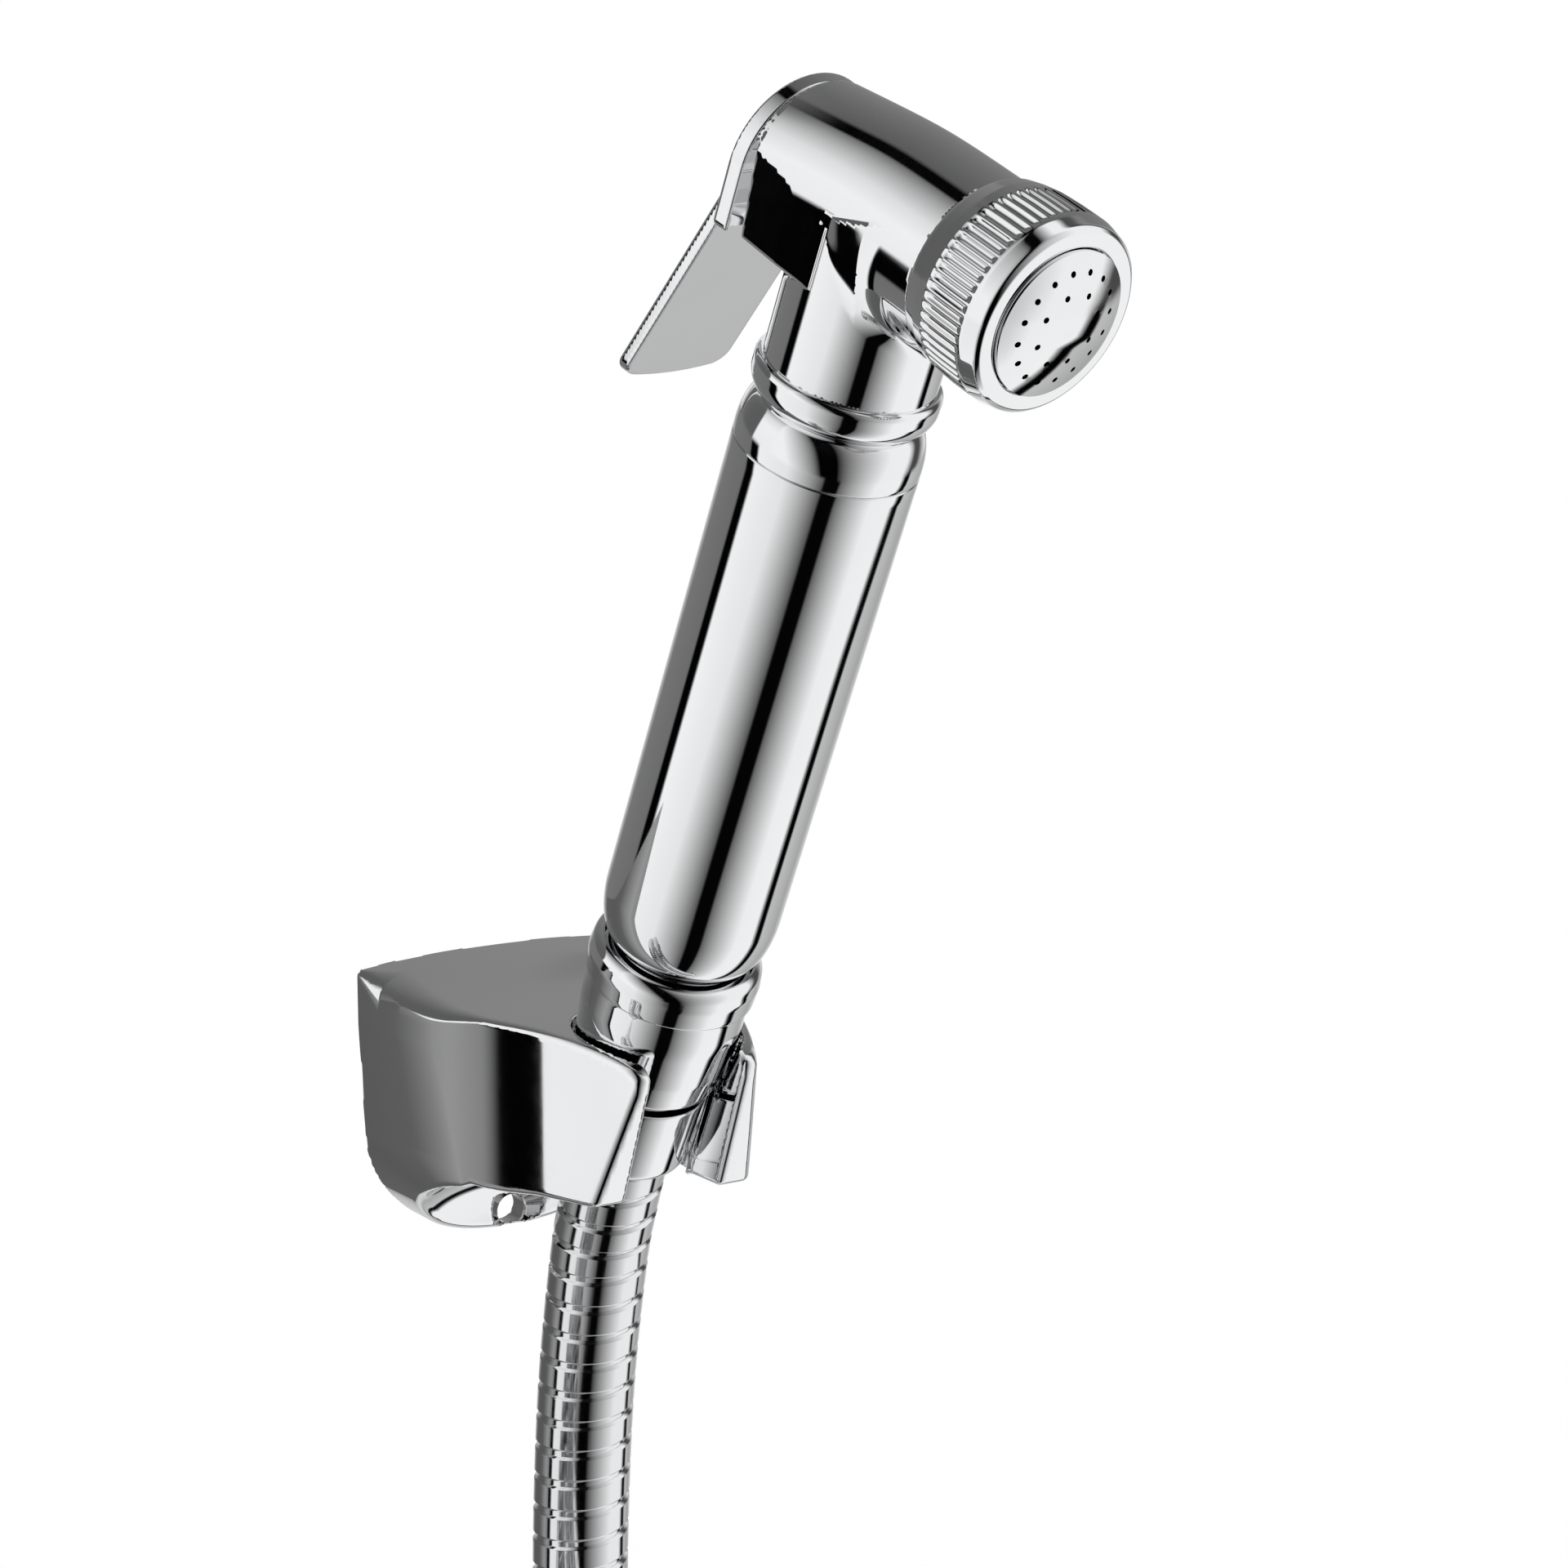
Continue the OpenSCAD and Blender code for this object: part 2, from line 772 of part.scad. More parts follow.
module lever() {
    foot = bend_y - paddle_len;
    t = paddle_t / cos(paddle_tilt);
    color(chrome)
    barrel()
        difference() {
            union() {
                intersection() {
                    translate([0, 0, -60])
                        linear_extrude(height = 60)
                            lever_outline(0);
                    // side view: cap, bend and paddle
                    rotate([0, -90, 0])
                        translate([0, 0, -20])
                            linear_extrude(height = 40)
                                polygon([
                                    [-cap_front, 12],
                                    [-lever_back(8) + 2.2, 12],
                                    [-lever_back(8) + 1.3, 9.4],
                                    [-lever_back(8) + 0.3, 8.7],
                                    [-lever_back(7.6), 7.6],
                                    [-lever_back(bend_y + 2), bend_y + 2],
                                    [-lever_back(bend_y - 1), bend_y - 1],
                                    [-lever_back(foot), foot],
                                    [-lever_back(foot) + t, foot - 1],
                                    [-lever_back(-17) + t, -17],
                                    [-lever_back(-12.6) + t, -12.6],
                                    [-cap_front, -11.4]
                                ]);
                }
                // lug round the hinge pin
                translate([-lug_w / 2, pin_y, -pin_a])
                    rotate([0, 90, 0])
                        cylinder(h = lug_w, r = pin_r + 1.2);
                translate([-lug_w / 2, pin_y - 2, -cap_back + 1])
                    cube([lug_w, 3.4, cap_back - 1 - pin_a]);
                // pusher behind the valve stem
                translate([0, 0, -cap_back + 1])
                    cylinder(h = cap_back - 1 - stem_back - pass_gap - 0.6, r = 1.6);
                translate([0, 0, -stem_back - pass_gap - 0.9])
                    sphere(r = 0.9, $fn = 32);
            }
            // hollow of the cap
            difference() {
                translate([0, 0, -60])
                    linear_extrude(height = 60)
                        lever_hollow();
                rotate([0, -90, 0])
                    translate([0, 0, -20])
                        linear_extrude(height = 40)
                            polygon([
                                [-60, 20],
                                [-cap_back + cap_plate, 20],
                                [-cap_back + cap_plate, bend_y + 0.4],
                                [-lever_back(flat_y) + t, flat_y],
                                [-lever_back(-14) + t, -14],
                                [-60, -14]
                            ]);
                translate([-lug_w / 2, pin_y - 3.4, -cap_back])
                    cube([lug_w, 6.6, 10]);
                translate([0, 0, -cap_back])
                    cylinder(h = 10, r = 1.6);
            }
            translate([-10, pin_y, -pin_a])
                rotate([0, 90, 0])
                    cylinder(h = 20, r = pin_r + run_gap);
        }
}

// Inside of the cap seen from behind, open at the bottom.
module lever_hollow() {
    r = cap_r - cap_wall;
    cap_c = -tan(droop) * cap_back;
    polygon(concat(
        [for (i = [0:24]) [r * cos(7.5 * i), cap_c + r * sin(7.5 * i)]],
        [[-r, flat_y - 2.2], [r, flat_y - 2.2]]
    ));
}

module hose_nut() {
    color(chrome)
    handset()
        difference() {
            rotate_extrude()
                polygon([for (p = [
                    [0, 0.01], [0.848, 0], [0.869, 0.014], [0.907, 0.19],
                    [0.941, 0.357], [0.958, 0.5], [0.958, 0.781], [0.97, 0.795],
                    [0.992, 0.829], [1, 0.876], [0.992, 0.929], [0.962, 0.971],
                    [0.924, 0.995], [0.898, 1], [0, 1]
                ]) [p[0] * nut_r, p[1] * nut_h]]);
            translate([0, 0, -1])
                cylinder(h = shelf_z + 1, r = sleeve_r + 0.15);
            cylinder(h = 30, r = 7.6);
            translate([0, 0, shelf_z + shelf_t])
                cylinder(h = 30, r = thread_r + thread_gap);
        }
}

module hose_washer_top() {
    color(rubber)
    handset()
        translate([0, 0, washer_z])
            ring(9.6, 5, washer_t);
}

// Tail with a flange that the hose nut pulls against the washer.
module tail_form() {
    difference() {
        union() {
            translate([0, 0, flange_z])
                cylinder(h = flange_t, r = 10);
            translate([0, 0, sleeve_in])
                cylinder(h = flange_z - sleeve_in + eps, r = 7.4);
            rotate_extrude()
                polygon(concat(
                    [[0, sleeve_in + eps], [0, 1 - sleeve_len]],
                    [for (i = [0:3]) each [
                        [5.2, 1 - sleeve_len + 3.4 * i],
                        [6.6, 1 - sleeve_len + 3.4 * i + 2.6]
                    ]],
                    [[5.8, sleeve_in + eps]]
                ));
        }
        translate([0, 0, -sleeve_len])
            cylinder(h = 3 * nut_h, r = hose_bore);
    }
}

module hose_insert_top() {
    color(brass)
    handset()
        tail_form();
}

// Ferrule crimped on the hose, with a rounded lower edge and a shallow band.
module sleeve_form() {
    difference() {
        rotate_extrude()
            polygon(concat(
                [[0, -sleeve_len], [sleeve_r - 1.2, -sleeve_len]],
                [for (i = [1:6]) [
                    sleeve_r - 1.2 + 1.2 * sin(15 * i),
                    -sleeve_len + 1.2 * (1 - cos(15 * i))
                ]],
                [[sleeve_r, -4.4], [sleeve_r - 0.15, -4], [sleeve_r - 0.15, sleeve_in],
                 [0, sleeve_in]]
            ));
        translate([0, 0, -sleeve_len - 1])
            cylinder(h = sleeve_len + sleeve_in, r = hose_r + 0.05);
        cylinder(h = 20, r = 5.9);
    }
}

module hose_sleeve() {
    color(chrome)
    handset()
        sleeve_form();
}

function unit(v) = v / norm(v);

// Tube of constant radius through a list of points in a plane of constant x.
module tube(route, r, sides = 12) {
    n = len(route) - 1;
    polyhedron(
        points = [for (i = [0:n], k = [0:sides - 1])
            let (
                t = unit(route[min(i + 1, n)] - route[max(i - 1, 0)]),
                s = cross([1, 0, 0], t),
                b = 360 * k / sides
            )
            route[i] + r * (cos(b) * [1, 0, 0] + sin(b) * s)],
        faces = tube_faces(n, sides, false)
    );
}

module hose() {
    color(chrome)
    tube(hose_route, hose_r);
}

module hose_tail() {
    color(chrome)
    tube(tail_route, hose_r);
}

// Outer form of the two turns that the hose is wound in.
module hose_coil() {
    color(chrome)
    translate([-coil_r, coil_y, coil_z])
        rotate([90, 0, 0])
            rotate_extrude()
                polygon(concat(
                    [for (i = [0:8]) [
                        coil_r + hose_r * cos(22.5 * i),
                        coil_half - hose_r + hose_r * sin(22.5 * i)
                    ]],
                    [for (i = [8:16]) [
                        coil_r + hose_r * cos(22.5 * i),
                        -coil_half + hose_r + hose_r * sin(22.5 * i)
                    ]]
                ));
}

module coil_tie() {
    gap = 0.1;
    color(rubber)
    translate([-2 * coil_r, coil_y, coil_z])
        difference() {
            cube([2 * hose_r + 3, 2 * coil_half + 3, 8], center = true);
            cube([2 * hose_r + 2 * gap, 2 * coil_half + 2 * gap, 20], center = true);
        }
}

// Turned over, the supply end is like the handset's end.
module supply_end() {
    translate([0, tail_y, tail_z])
        translate([0, 0, -sleeve_len])
            rotate([180, 0, 0])
                children();
}

module hose_sleeve_end() {
    color(chrome)
    supply_end()
        sleeve_form();
}

module hose_insert_end() {
    color(brass)
    supply_end()
        tail_form();
}

module inlet_nut() {
    color(chrome)
    supply_end()
        difference() {
            intersection() {
                cylinder(h = inlet_h, r = inlet_flats / sqrt(3), $fn = 6);
                rotate_extrude()
                    polygon([
                        [0, 0], [inlet_flats / 2 - 0.3, 0],
                        [inlet_flats / 2 + 2.2, 1.6],
                        [inlet_flats / 2 + 2.2, inlet_h - 1.6],
                        [inlet_flats / 2 - 0.3, inlet_h], [0, inlet_h]
                    ]);
            }
            translate([0, 0, -1])
                cylinder(h = shelf_z + 1, r = sleeve_r + 0.15);
            cylinder(h = 30, r = 7.6);
            translate([0, 0, shelf_z + shelf_t])
                cylinder(h = 30, r = thread_r + thread_gap);
            // relief round the tail's flange and the washer
            translate([0, 0, shelf_z + shelf_t])
                cylinder(h = washer_z + washer_t + 0.05 - shelf_z - shelf_t, r = thread_r + 0.6);
        }
}

module inlet_washer() {
    color(rubber)
    supply_end()
        translate([0, 0, washer_z])
            ring(9.6, 5, washer_t);
}

bracket();
head_body();
handle();
knurled_ring();
spray_plate();
lever();
hinge_pin();
valve_stem();
valve_washer();
valve_spring();
spring_retainer();
gland_nut();
stem_seal();
face_seal();
neck_seal();
hose_nut();
hose_washer_top();
hose_insert_top();
hose_sleeve();
hose();
hose_coil();
hose_tail();
coil_tie();
hose_sleeve_end();
hose_insert_end();
inlet_nut();
inlet_washer();
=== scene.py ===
import json
import math

import bpy
import numpy as np
from mathutils import Matrix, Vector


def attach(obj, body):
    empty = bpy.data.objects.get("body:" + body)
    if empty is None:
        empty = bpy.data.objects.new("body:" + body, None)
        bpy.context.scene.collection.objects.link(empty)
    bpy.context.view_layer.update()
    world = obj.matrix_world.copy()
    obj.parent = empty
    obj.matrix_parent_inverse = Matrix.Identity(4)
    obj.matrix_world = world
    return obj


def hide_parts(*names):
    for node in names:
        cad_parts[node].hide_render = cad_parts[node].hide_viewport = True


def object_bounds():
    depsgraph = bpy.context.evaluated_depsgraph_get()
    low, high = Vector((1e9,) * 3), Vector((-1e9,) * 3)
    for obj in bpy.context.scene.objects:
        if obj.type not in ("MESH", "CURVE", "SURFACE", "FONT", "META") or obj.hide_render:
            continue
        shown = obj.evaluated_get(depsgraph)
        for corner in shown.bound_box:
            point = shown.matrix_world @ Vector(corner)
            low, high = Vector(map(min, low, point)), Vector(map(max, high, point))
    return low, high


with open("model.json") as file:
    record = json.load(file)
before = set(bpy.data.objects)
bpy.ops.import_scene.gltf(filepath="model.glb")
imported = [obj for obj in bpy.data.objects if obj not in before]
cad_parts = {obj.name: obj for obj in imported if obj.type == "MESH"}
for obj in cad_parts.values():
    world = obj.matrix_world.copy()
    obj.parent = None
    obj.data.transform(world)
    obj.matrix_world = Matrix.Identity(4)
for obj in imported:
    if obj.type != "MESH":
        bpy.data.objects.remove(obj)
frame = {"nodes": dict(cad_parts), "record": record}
cad_low, cad_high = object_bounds()
nodes = frame["nodes"]

# --- Camera: the photograph looks from the left of the wall bracket, a little from
# above, with the object upright in the frame. Metres in the part's frame.
camera_place = np.array([-0.24098, -0.44581, 0.13041])
camera_back = np.array([-0.54012, -0.82525, 0.16505])
camera_right = np.array([0.83672, -0.54763, 0.0])
camera_up = np.cross(camera_back, camera_right)
camera_data = bpy.data.cameras.new("camera")
camera_data.sensor_width = 36
camera_data.lens = 80.416
camera_data.clip_start = 0.02
camera_data.clip_end = 20
camera = bpy.data.objects.new("camera", camera_data)
bpy.context.scene.collection.objects.link(camera)
columns = np.stack([camera_right, camera_up, camera_back, camera_place], 1)
camera.matrix_world = Matrix([*columns.tolist(), [0, 0, 0, 1]])
bpy.context.scene.camera = camera
bpy.context.scene.view_settings.view_transform = "Standard"


# --- Studio: chrome shows nothing but its surroundings, so the room round it is a pale
# studio with black flags and grey walls. The camera itself sees plain white.
def linear(shade):
    """Light of a shade as displayed: the shade to the power 2.2."""
    return shade ** 2.2


class Signal:
    """A node's output that takes part in Python arithmetic and adds Math nodes."""

    def __init__(self, tree, socket):
        self.tree, self.socket = tree, socket

    def node(self, kind, settings=(), inputs=()):
        """A node of that type with its settings, then its input values or links."""
        made = self.tree.nodes.new(kind)
        for name, value in dict(settings).items():
            if name == "stops":
                ramp = made.color_ramp
                for i, (place, shade) in enumerate(value):
                    stop = ramp.elements[i] if i < 2 else ramp.elements.new(place)
                    stop.position = place
                    stop.color = (*[linear(shade)] * 3, 1)
            else:
                setattr(made, name, value)
        for name, value in dict(inputs).items():
            if isinstance(value, Signal):
                self.tree.links.new(value.socket, made.inputs[name])
            else:
                made.inputs[name].default_value = value
        return made

    def out(self, kind, settings=(), inputs=(), output=0):
        """The signal of one output, by number or name, of a new node."""
        return Signal(self.tree, self.node(kind, settings, inputs).outputs[output])

    def maths(self, operation, *values):
        """The signal of a Math node on signals or numbers."""
        return self.out("ShaderNodeMath", {"operation": operation}, enumerate(values))

    def __add__(self, other):
        return self.maths("ADD", self, other)

    def __sub__(self, other):
        return self.maths("SUBTRACT", self, other)

    def __rsub__(self, other):
        return self.maths("SUBTRACT", other, self)

    def __mul__(self, other):
        return self.maths("MULTIPLY", self, other)

    def __truediv__(self, other):
        return self.maths("DIVIDE", self, other)

    __radd__ = __add__
    __rmul__ = __mul__

    def step(self, start, end):
        """0 below start, 1 above end, and a smooth rise between them."""
        return self.out(
            "ShaderNodeMapRange",
            {"interpolation_type": "SMOOTHSTEP"},
            {0: self, 1: start, 2: end, 3: 0.0, 4: 1.0},
        )

    def choose(self, low, high):
        """low where the signal is 0, high where it is 1."""
        return (1 - self) * low + self * high

    def parts(self):
        """The x, y and z signals of a vector."""
        split = self.node("ShaderNodeSeparateXYZ", (), {0: self})
        return [Signal(self.tree, split.outputs[i]) for i in range(3)]

    def dot(self, vector):
        """Length of a vector's part along a fixed direction."""
        return self.out(
            "ShaderNodeVectorMath", {"operation": "DOT_PRODUCT"},
            {0: self, 1: tuple(vector)}, "Value",
        )


def new_tree(owner):
    """An emptied node tree of a world or material, and a signal to build from."""
    owner.use_nodes = True
    owner.node_tree.nodes.clear()
    return Signal(owner.node_tree, None)


def bearing(ray, axis, ahead):
    """Angle of a ray about an axis, in degrees from ahead, rising to its right."""
    axis = np.array(axis) / np.linalg.norm(axis)
    ahead = np.array(ahead) - axis * np.dot(ahead, axis)
    ahead /= np.linalg.norm(ahead)
    side = np.cross(axis, ahead)
    return ray.maths("ARCTAN2", ray.dot(side), ray.dot(ahead)) * (180 / math.pi)


def stripes(angle, stops):
    """Shade by angle: ramps between (degrees, shade as displayed) stops, -180 to 180."""
    return angle.out(
        "ShaderNodeValToRGB",
        {"stops": [((a + 180) / 360, s) for a, s in stops]},
        {0: angle / 360 + 0.5},
    )


def turned(axis, degrees):
    """Matrix of a right-handed turn about the x, y or z axis."""
    return np.array(Matrix.Rotation(math.radians(degrees), 3, axis))


# The handset's frame has its z up the handle from the hose nut's lower edge, and the
# barrel's frame its z forward along the spray. Both are in millimetres.
lean, turn = 27.15, 9.4
seat = np.array([0, -42.6, 12.8])
handset_turn = turned("X", lean) @ turned("Z", turn)
barrel_turn = handset_turn @ turned("X", 90)
seam_z, axis_z = 98.0, 130.8
barrel_place = seat + handset_turn @ np.array([0, 0, axis_z])
handle_axis, spray_axis = handset_turn[:, 2], barrel_turn[:, 2]

world = bpy.data.worlds.new("studio")
bpy.context.scene.world = world
build = new_tree(world)
ray = build.out("ShaderNodeTexCoord", output="Generated")

# Rays that run down the handle see the low room, by their bearing about the handle. For
# the less steep ones on its right the room is turned by 10 degrees.
spin = bearing(ray, handle_axis, camera_back)
spin = spin - ray.dot(handle_axis).step(-0.5, -0.42) * spin.step(80, 97) * 10
low_room = stripes(spin, [
    (-180, 0.85), (-160, 0.75), (-144, 0.47), (-96, 0.44), (-93, 0.04), (-82, 0.04),
    (-79, 0.98), (-36, 0.93), (0, 0.5), (7, 0.35), (9, 0.05), (26, 0.05), (28, 0.4),
    (72, 0.97), (97, 0.98), (101, 0.55), (104, 0.03), (111, 0.03), (114, 0.76),
    (144, 0.66), (160, 0.8), (180, 0.85),
])
high_room = stripes(bearing(ray, (0, 0, 1), camera_back), [
    (-180, 0.95), (-140, 0.4), (-110, 0.54), (-84, 0.16), (-77, 0.98), (-54, 0.98),
    (-20, 0.5), (-12, 0.04), (10, 0.04), (22, 0.45), (78, 0.97), (108, 0.97),
    (120, 0.3), (130, 0.3), (140, 0.7), (152, 0.9), (180, 0.95),
])
back_room = stripes(bearing(ray, -spray_axis, camera_back), [
    (-180, 0.85), (-102, 0.6), (-100, 0.05), (-94, 0.05), (-90, 0.95), (-28, 0.98),
    (-4, 0.9), (20, 0.68), (36, 0.45), (39, 0.04), (52, 0.04), (58, 0.37),
    (146, 0.5), (166, 0.62), (176, 0.9), (180, 0.95),
])

# The rooms join by how far a ray runs along the spray and up the handle. Tiles show on
# the wall and straight behind the barrel, and the object's outlines, where a ray hardly
# turns, are pale.
forward = ray.dot(spray_axis).step(-0.4, -0.3)
above = ray.dot(handle_axis).step(-0.34, -0.25)
deep = ray.dot(spray_axis).step(-0.79, -0.76)
wall = ray.parts()[1].step(0.74, 0.79)
tiles = ray.parts()[0].step(-0.6, 0.9).choose(linear(0.37), linear(0.56))
back_room = deep.choose(tiles, wall.choose(back_room, tiles))
rim = ray.dot(-camera_back).step(0.965, 0.985)
room = rim.choose(above.choose(low_room, forward.choose(back_room, high_room)), 0.9)
mirrored = build.out("ShaderNodeLightPath", output="Is Glossy Ray")
build.node("ShaderNodeOutputWorld", (), {0: build.out(
    "ShaderNodeBackground", (), {0: mirrored.choose(1.0, room), 1: 1.0}
)})


# --- Flag: a curved sheet beside the bracket and the hose, seen only in mirrored rays. It
# gives the bracket's side and the hose's left edge their grey and black parts.
def sheet(name, points, faces):
    """A studio sheet from points in metres, with a material of its own name."""
    mesh = bpy.data.meshes.new(name)
    mesh.from_pydata(points, [], faces)
    mesh.materials.append(bpy.data.materials.new(name))
    made = bpy.data.objects.new(name, mesh)
    bpy.context.scene.collection.objects.link(made)
    return made


def by_ray(build, mirror, other):
    """Ends a material in one shader for mirrored rays and another for the rest."""
    mirrored = build.out("ShaderNodeLightPath", output="Is Glossy Ray")
    build.node("ShaderNodeOutputMaterial", (), {0: build.out(
        "ShaderNodeMixShader", (), {0: mirrored, 1: other, 2: mirror}
    )})


flag_low, flag_high, flag_r, flag_y = -0.26, 0.02, 0.095, -0.03
bend = np.radians(np.linspace(96, 168, 37))
edge = np.stack([flag_r * np.cos(bend), flag_y + flag_r * np.sin(bend)], 1)
row = len(edge)
flag = sheet("flag", [(x, y, z) for z in (flag_low, flag_high) for x, y in edge], [
    (i, i + 1, i + 1 + row, i + row) for i in range(row - 1)
])
build = new_tree(flag.data.materials[0])
ray = build.out("ShaderNodeNewGeometry", output="Incoming")
shade = stripes(bearing(ray, (0, 0, 1), -camera_back), [
    (-180, 0.4), (-124, 0.36), (-113, 0.38), (-95, 0.6), (-88, 0.52), (-86, 0.03),
    (-78, 0.03), (-76.5, 0.95), (0, 0.95), (180, 0.95),
])
glow = build.out("ShaderNodeEmission", (), {0: shade, 1: 1.0})
clear = build.out("ShaderNodeBsdfTransparent")
by_ray(build, glow, clear)

# --- Floor: a pale sheet below the hose's coil. Mirrored rays pass it and show the
# studio, and the other rays keep the object's shadow on it.
floor_gap, floor_hw = 0.012, 8
floor_z = float(cad_low[2]) - floor_gap
corners = ((-1, -1), (1, -1), (1, 1), (-1, 1))
floor = sheet(
    "floor", [(floor_hw * x, floor_hw * y, floor_z) for x, y in corners], [(0, 1, 2, 3)]
)
build = new_tree(floor.data.materials[0])
pale = build.out("ShaderNodeBsdfDiffuse", (), {0: (1, 1, 1, 1)})
clear = build.out("ShaderNodeBsdfTransparent")
by_ray(build, clear, pale)


# --- Finishes: chrome plate on brass and on the moulded bracket, the hose's bright
# steel band, plain steel, machined brass and black rubber.
def finish(name, colour, metallic, roughness, uneven, scale, grain=0.0):
    """A finish whose roughness and shade wander with a cloud and fine specks of noise, by
    the share uneven. The specks may also stand up as a grain."""
    fade, speck_scale, grain_height = 0.93, 14, 0.0001
    material = bpy.data.materials.new(name)
    build = new_tree(material)
    place = build.out("ShaderNodeTexCoord", output="Object")
    cloud = build.out(
        "ShaderNodeTexNoise", {"noise_dimensions": "3D"},
        {"Vector": place, "Scale": scale, "Detail": 3.0},
    )
    speck = build.out(
        "ShaderNodeTexNoise", {"noise_dimensions": "3D"},
        {"Vector": place, "Scale": scale * speck_scale, "Detail": 2.0},
    )
    dull = tuple(fade * c for c in colour)
    tint = build.out(
        "ShaderNodeMix", {"data_type": "RGBA"},
        {0: cloud, 6: (*colour, 1), 7: (*dull, 1)}, 2,
    )
    inputs = {
        "Base Color": tint, "Metallic": metallic,
        "Roughness": (cloud + speck - 1) * uneven + roughness,
    }
    if grain:
        inputs["Normal"] = build.out("ShaderNodeBump", (), {
            "Height": speck, "Strength": grain, "Distance": grain_height
        })
    build.node("ShaderNodeOutputMaterial", (), {
        0: build.out("ShaderNodeBsdfPrincipled", (), inputs)
    })
    return material


finishes = {
    "chromed_brass": finish("chrome", (0.93, 0.935, 0.945), 1.0, 0.045, 0.03, 40),
    "chromed_plastic": finish("chrome_on_plastic", (0.925, 0.93, 0.94), 1.0, 0.055, 0.03, 30),
    "hose_steel": finish("hose_steel", (0.87, 0.875, 0.885), 1.0, 0.09, 0.05, 90),
    "steel": finish("steel", (0.62, 0.63, 0.65), 1.0, 0.25, 0.1, 120, 0.1),
    "brass": finish("brass", (0.78, 0.62, 0.34), 1.0, 0.22, 0.1, 120, 0.1),
    "rubber": finish("rubber", (0.03, 0.03, 0.033), 0.0, 0.6, 0.15, 150, 0.3),
    "tie_rubber": finish("tie_rubber", (0.035, 0.035, 0.038), 0.0, 0.55, 0.15, 150, 0.3),
}
for part in frame["record"]["subparts"]:
    mesh = nodes[part["node"]].data
    mesh.materials.clear()
    mesh.materials.append(finishes[part["material_slot"]])


# --- Bracket: one moulding of chromed plastic, screwed to the wall. It has a flared wall
# plate, a fork that the handset sits in, a scoop that leaves room for the lower screw,
# and a hollow ribbed back. Its form is a field of distances, skinned by a net.
def meet(a, b, r=0.0):
    """Where both hold: the larger of two distances, with a round edge of radius r."""
    if np.ndim(r) == 0 and r == 0:
        return np.maximum(a, b)
    corner = np.hypot(np.maximum(r + a, 0), np.maximum(r + b, 0))
    return np.minimum(-r, np.maximum(a, b)) + corner


def join(a, b, r=0.0):
    """Where either holds, with a hollow fillet of radius r between them."""
    return -meet(-a, -b, r)


def cut(a, b, r=0.0):
    """a less b, with a round edge of radius r."""
    return meet(a, -b, r)


def ellipse(x, y, a, b):
    """Distance from an ellipse with half axes a and b, true near its edge."""
    near = np.hypot(x / a, y / b)
    return near * (near - 1) / np.maximum(np.hypot(x / a ** 2, y / b ** 2), 1e-6)


def net(name, field, low, high, step, place=(0, 0, 0), turn=np.eye(3), tidy=4):
    """A skin where field(x, y, z) is zero, in millimetres of its own frame. Each cell of
    a grid that the surface crosses gets one point, which slides along the field's slope
    onto the surface. Four cells round a crossed edge share a face."""
    low, high = np.array(low, float), np.array(high, float)
    count = np.ceil((high - low) / step).astype(int) + 1
    probe, least_slope = 0.01, 0.05
    lines = [low[i] + step * np.arange(count[i]) for i in range(3)]
    value = field(*np.meshgrid(*lines, indexing="ij", sparse=True))
    value = np.broadcast_to(value, count)
    inside = value < 0
    cells = count - 1

    def corner(grid, i, j, k):
        return grid[i:i + cells[0], j:j + cells[1], k:k + cells[2]]

    offsets = [(i, j, k) for i in (0, 1) for j in (0, 1) for k in (0, 1)]
    filled = sum(corner(inside, *o).astype(np.int8) for o in offsets)
    crossed = (filled > 0) & (filled < 8)
    where = np.argwhere(crossed)
    number = np.full(cells, -1)
    number[crossed] = np.arange(len(where))

    total = np.zeros((len(where), 3))
    hits = np.zeros(len(where))
    for axis in range(3):
        for start in offsets:
            if start[axis]:
                continue
            end = list(start)
            end[axis] = 1
            a = value[tuple((where + start).T)]
            b = value[tuple((where + end).T)]
            hit = (a < 0) != (b < 0)
            point = np.tile(np.array(start, float), (len(where), 1))
            point[:, axis] = a / np.where(hit, a - b, 1)
            total[hit] += point[hit]
            hits += hit
    points = low + step * (where + total / hits[:, None])

    def slope(points):
        parts = []
        for axis in range(3):
            shift = np.zeros(3)
            shift[axis] = probe
            parts.append(field(*(points + shift).T) - field(*(points - shift).T))
        return np.stack(parts, 1) / (2 * probe)

    for _ in range(tidy):
        ramp = slope(points)
        size = np.maximum((ramp ** 2).sum(1), least_slope)
        move = -field(*points.T)[:, None] * ramp / size[:, None]
        points = points + np.clip(move, -step / 2, step / 2)
    ramp = slope(points)
    normals = ramp / np.maximum(np.linalg.norm(ramp, axis=1), 1e-9)[:, None]

    faces = []
    for axis in range(3):
        one, two = (axis + 1) % 3, (axis + 2) % 3
        size = list(cells)
        size[one] -= 1
        size[two] -= 1
        a = [slice(1, 1 + size[i]) if i != axis else slice(0, size[i]) for i in range(3)]
        b = list(a)
        b[axis] = slice(1, 1 + size[axis])
        first, second = inside[tuple(a)], inside[tuple(b)]
        edges = np.argwhere(first != second)
        outward = first[tuple(edges.T)]
        quad = []
        for u, v in ((0, 0), (1, 0), (1, 1), (0, 1)):
            cell = edges.copy()
            cell[:, one] += u
            cell[:, two] += v
            quad.append(number[tuple(cell.T)])
        quad = np.stack(quad, 1)
        quad[~outward] = quad[~outward][:, ::-1]
        faces.append(quad)
    faces = np.concatenate(faces)
    return solid(name, place + points @ np.array(turn).T, faces, normals @ np.array(turn).T)


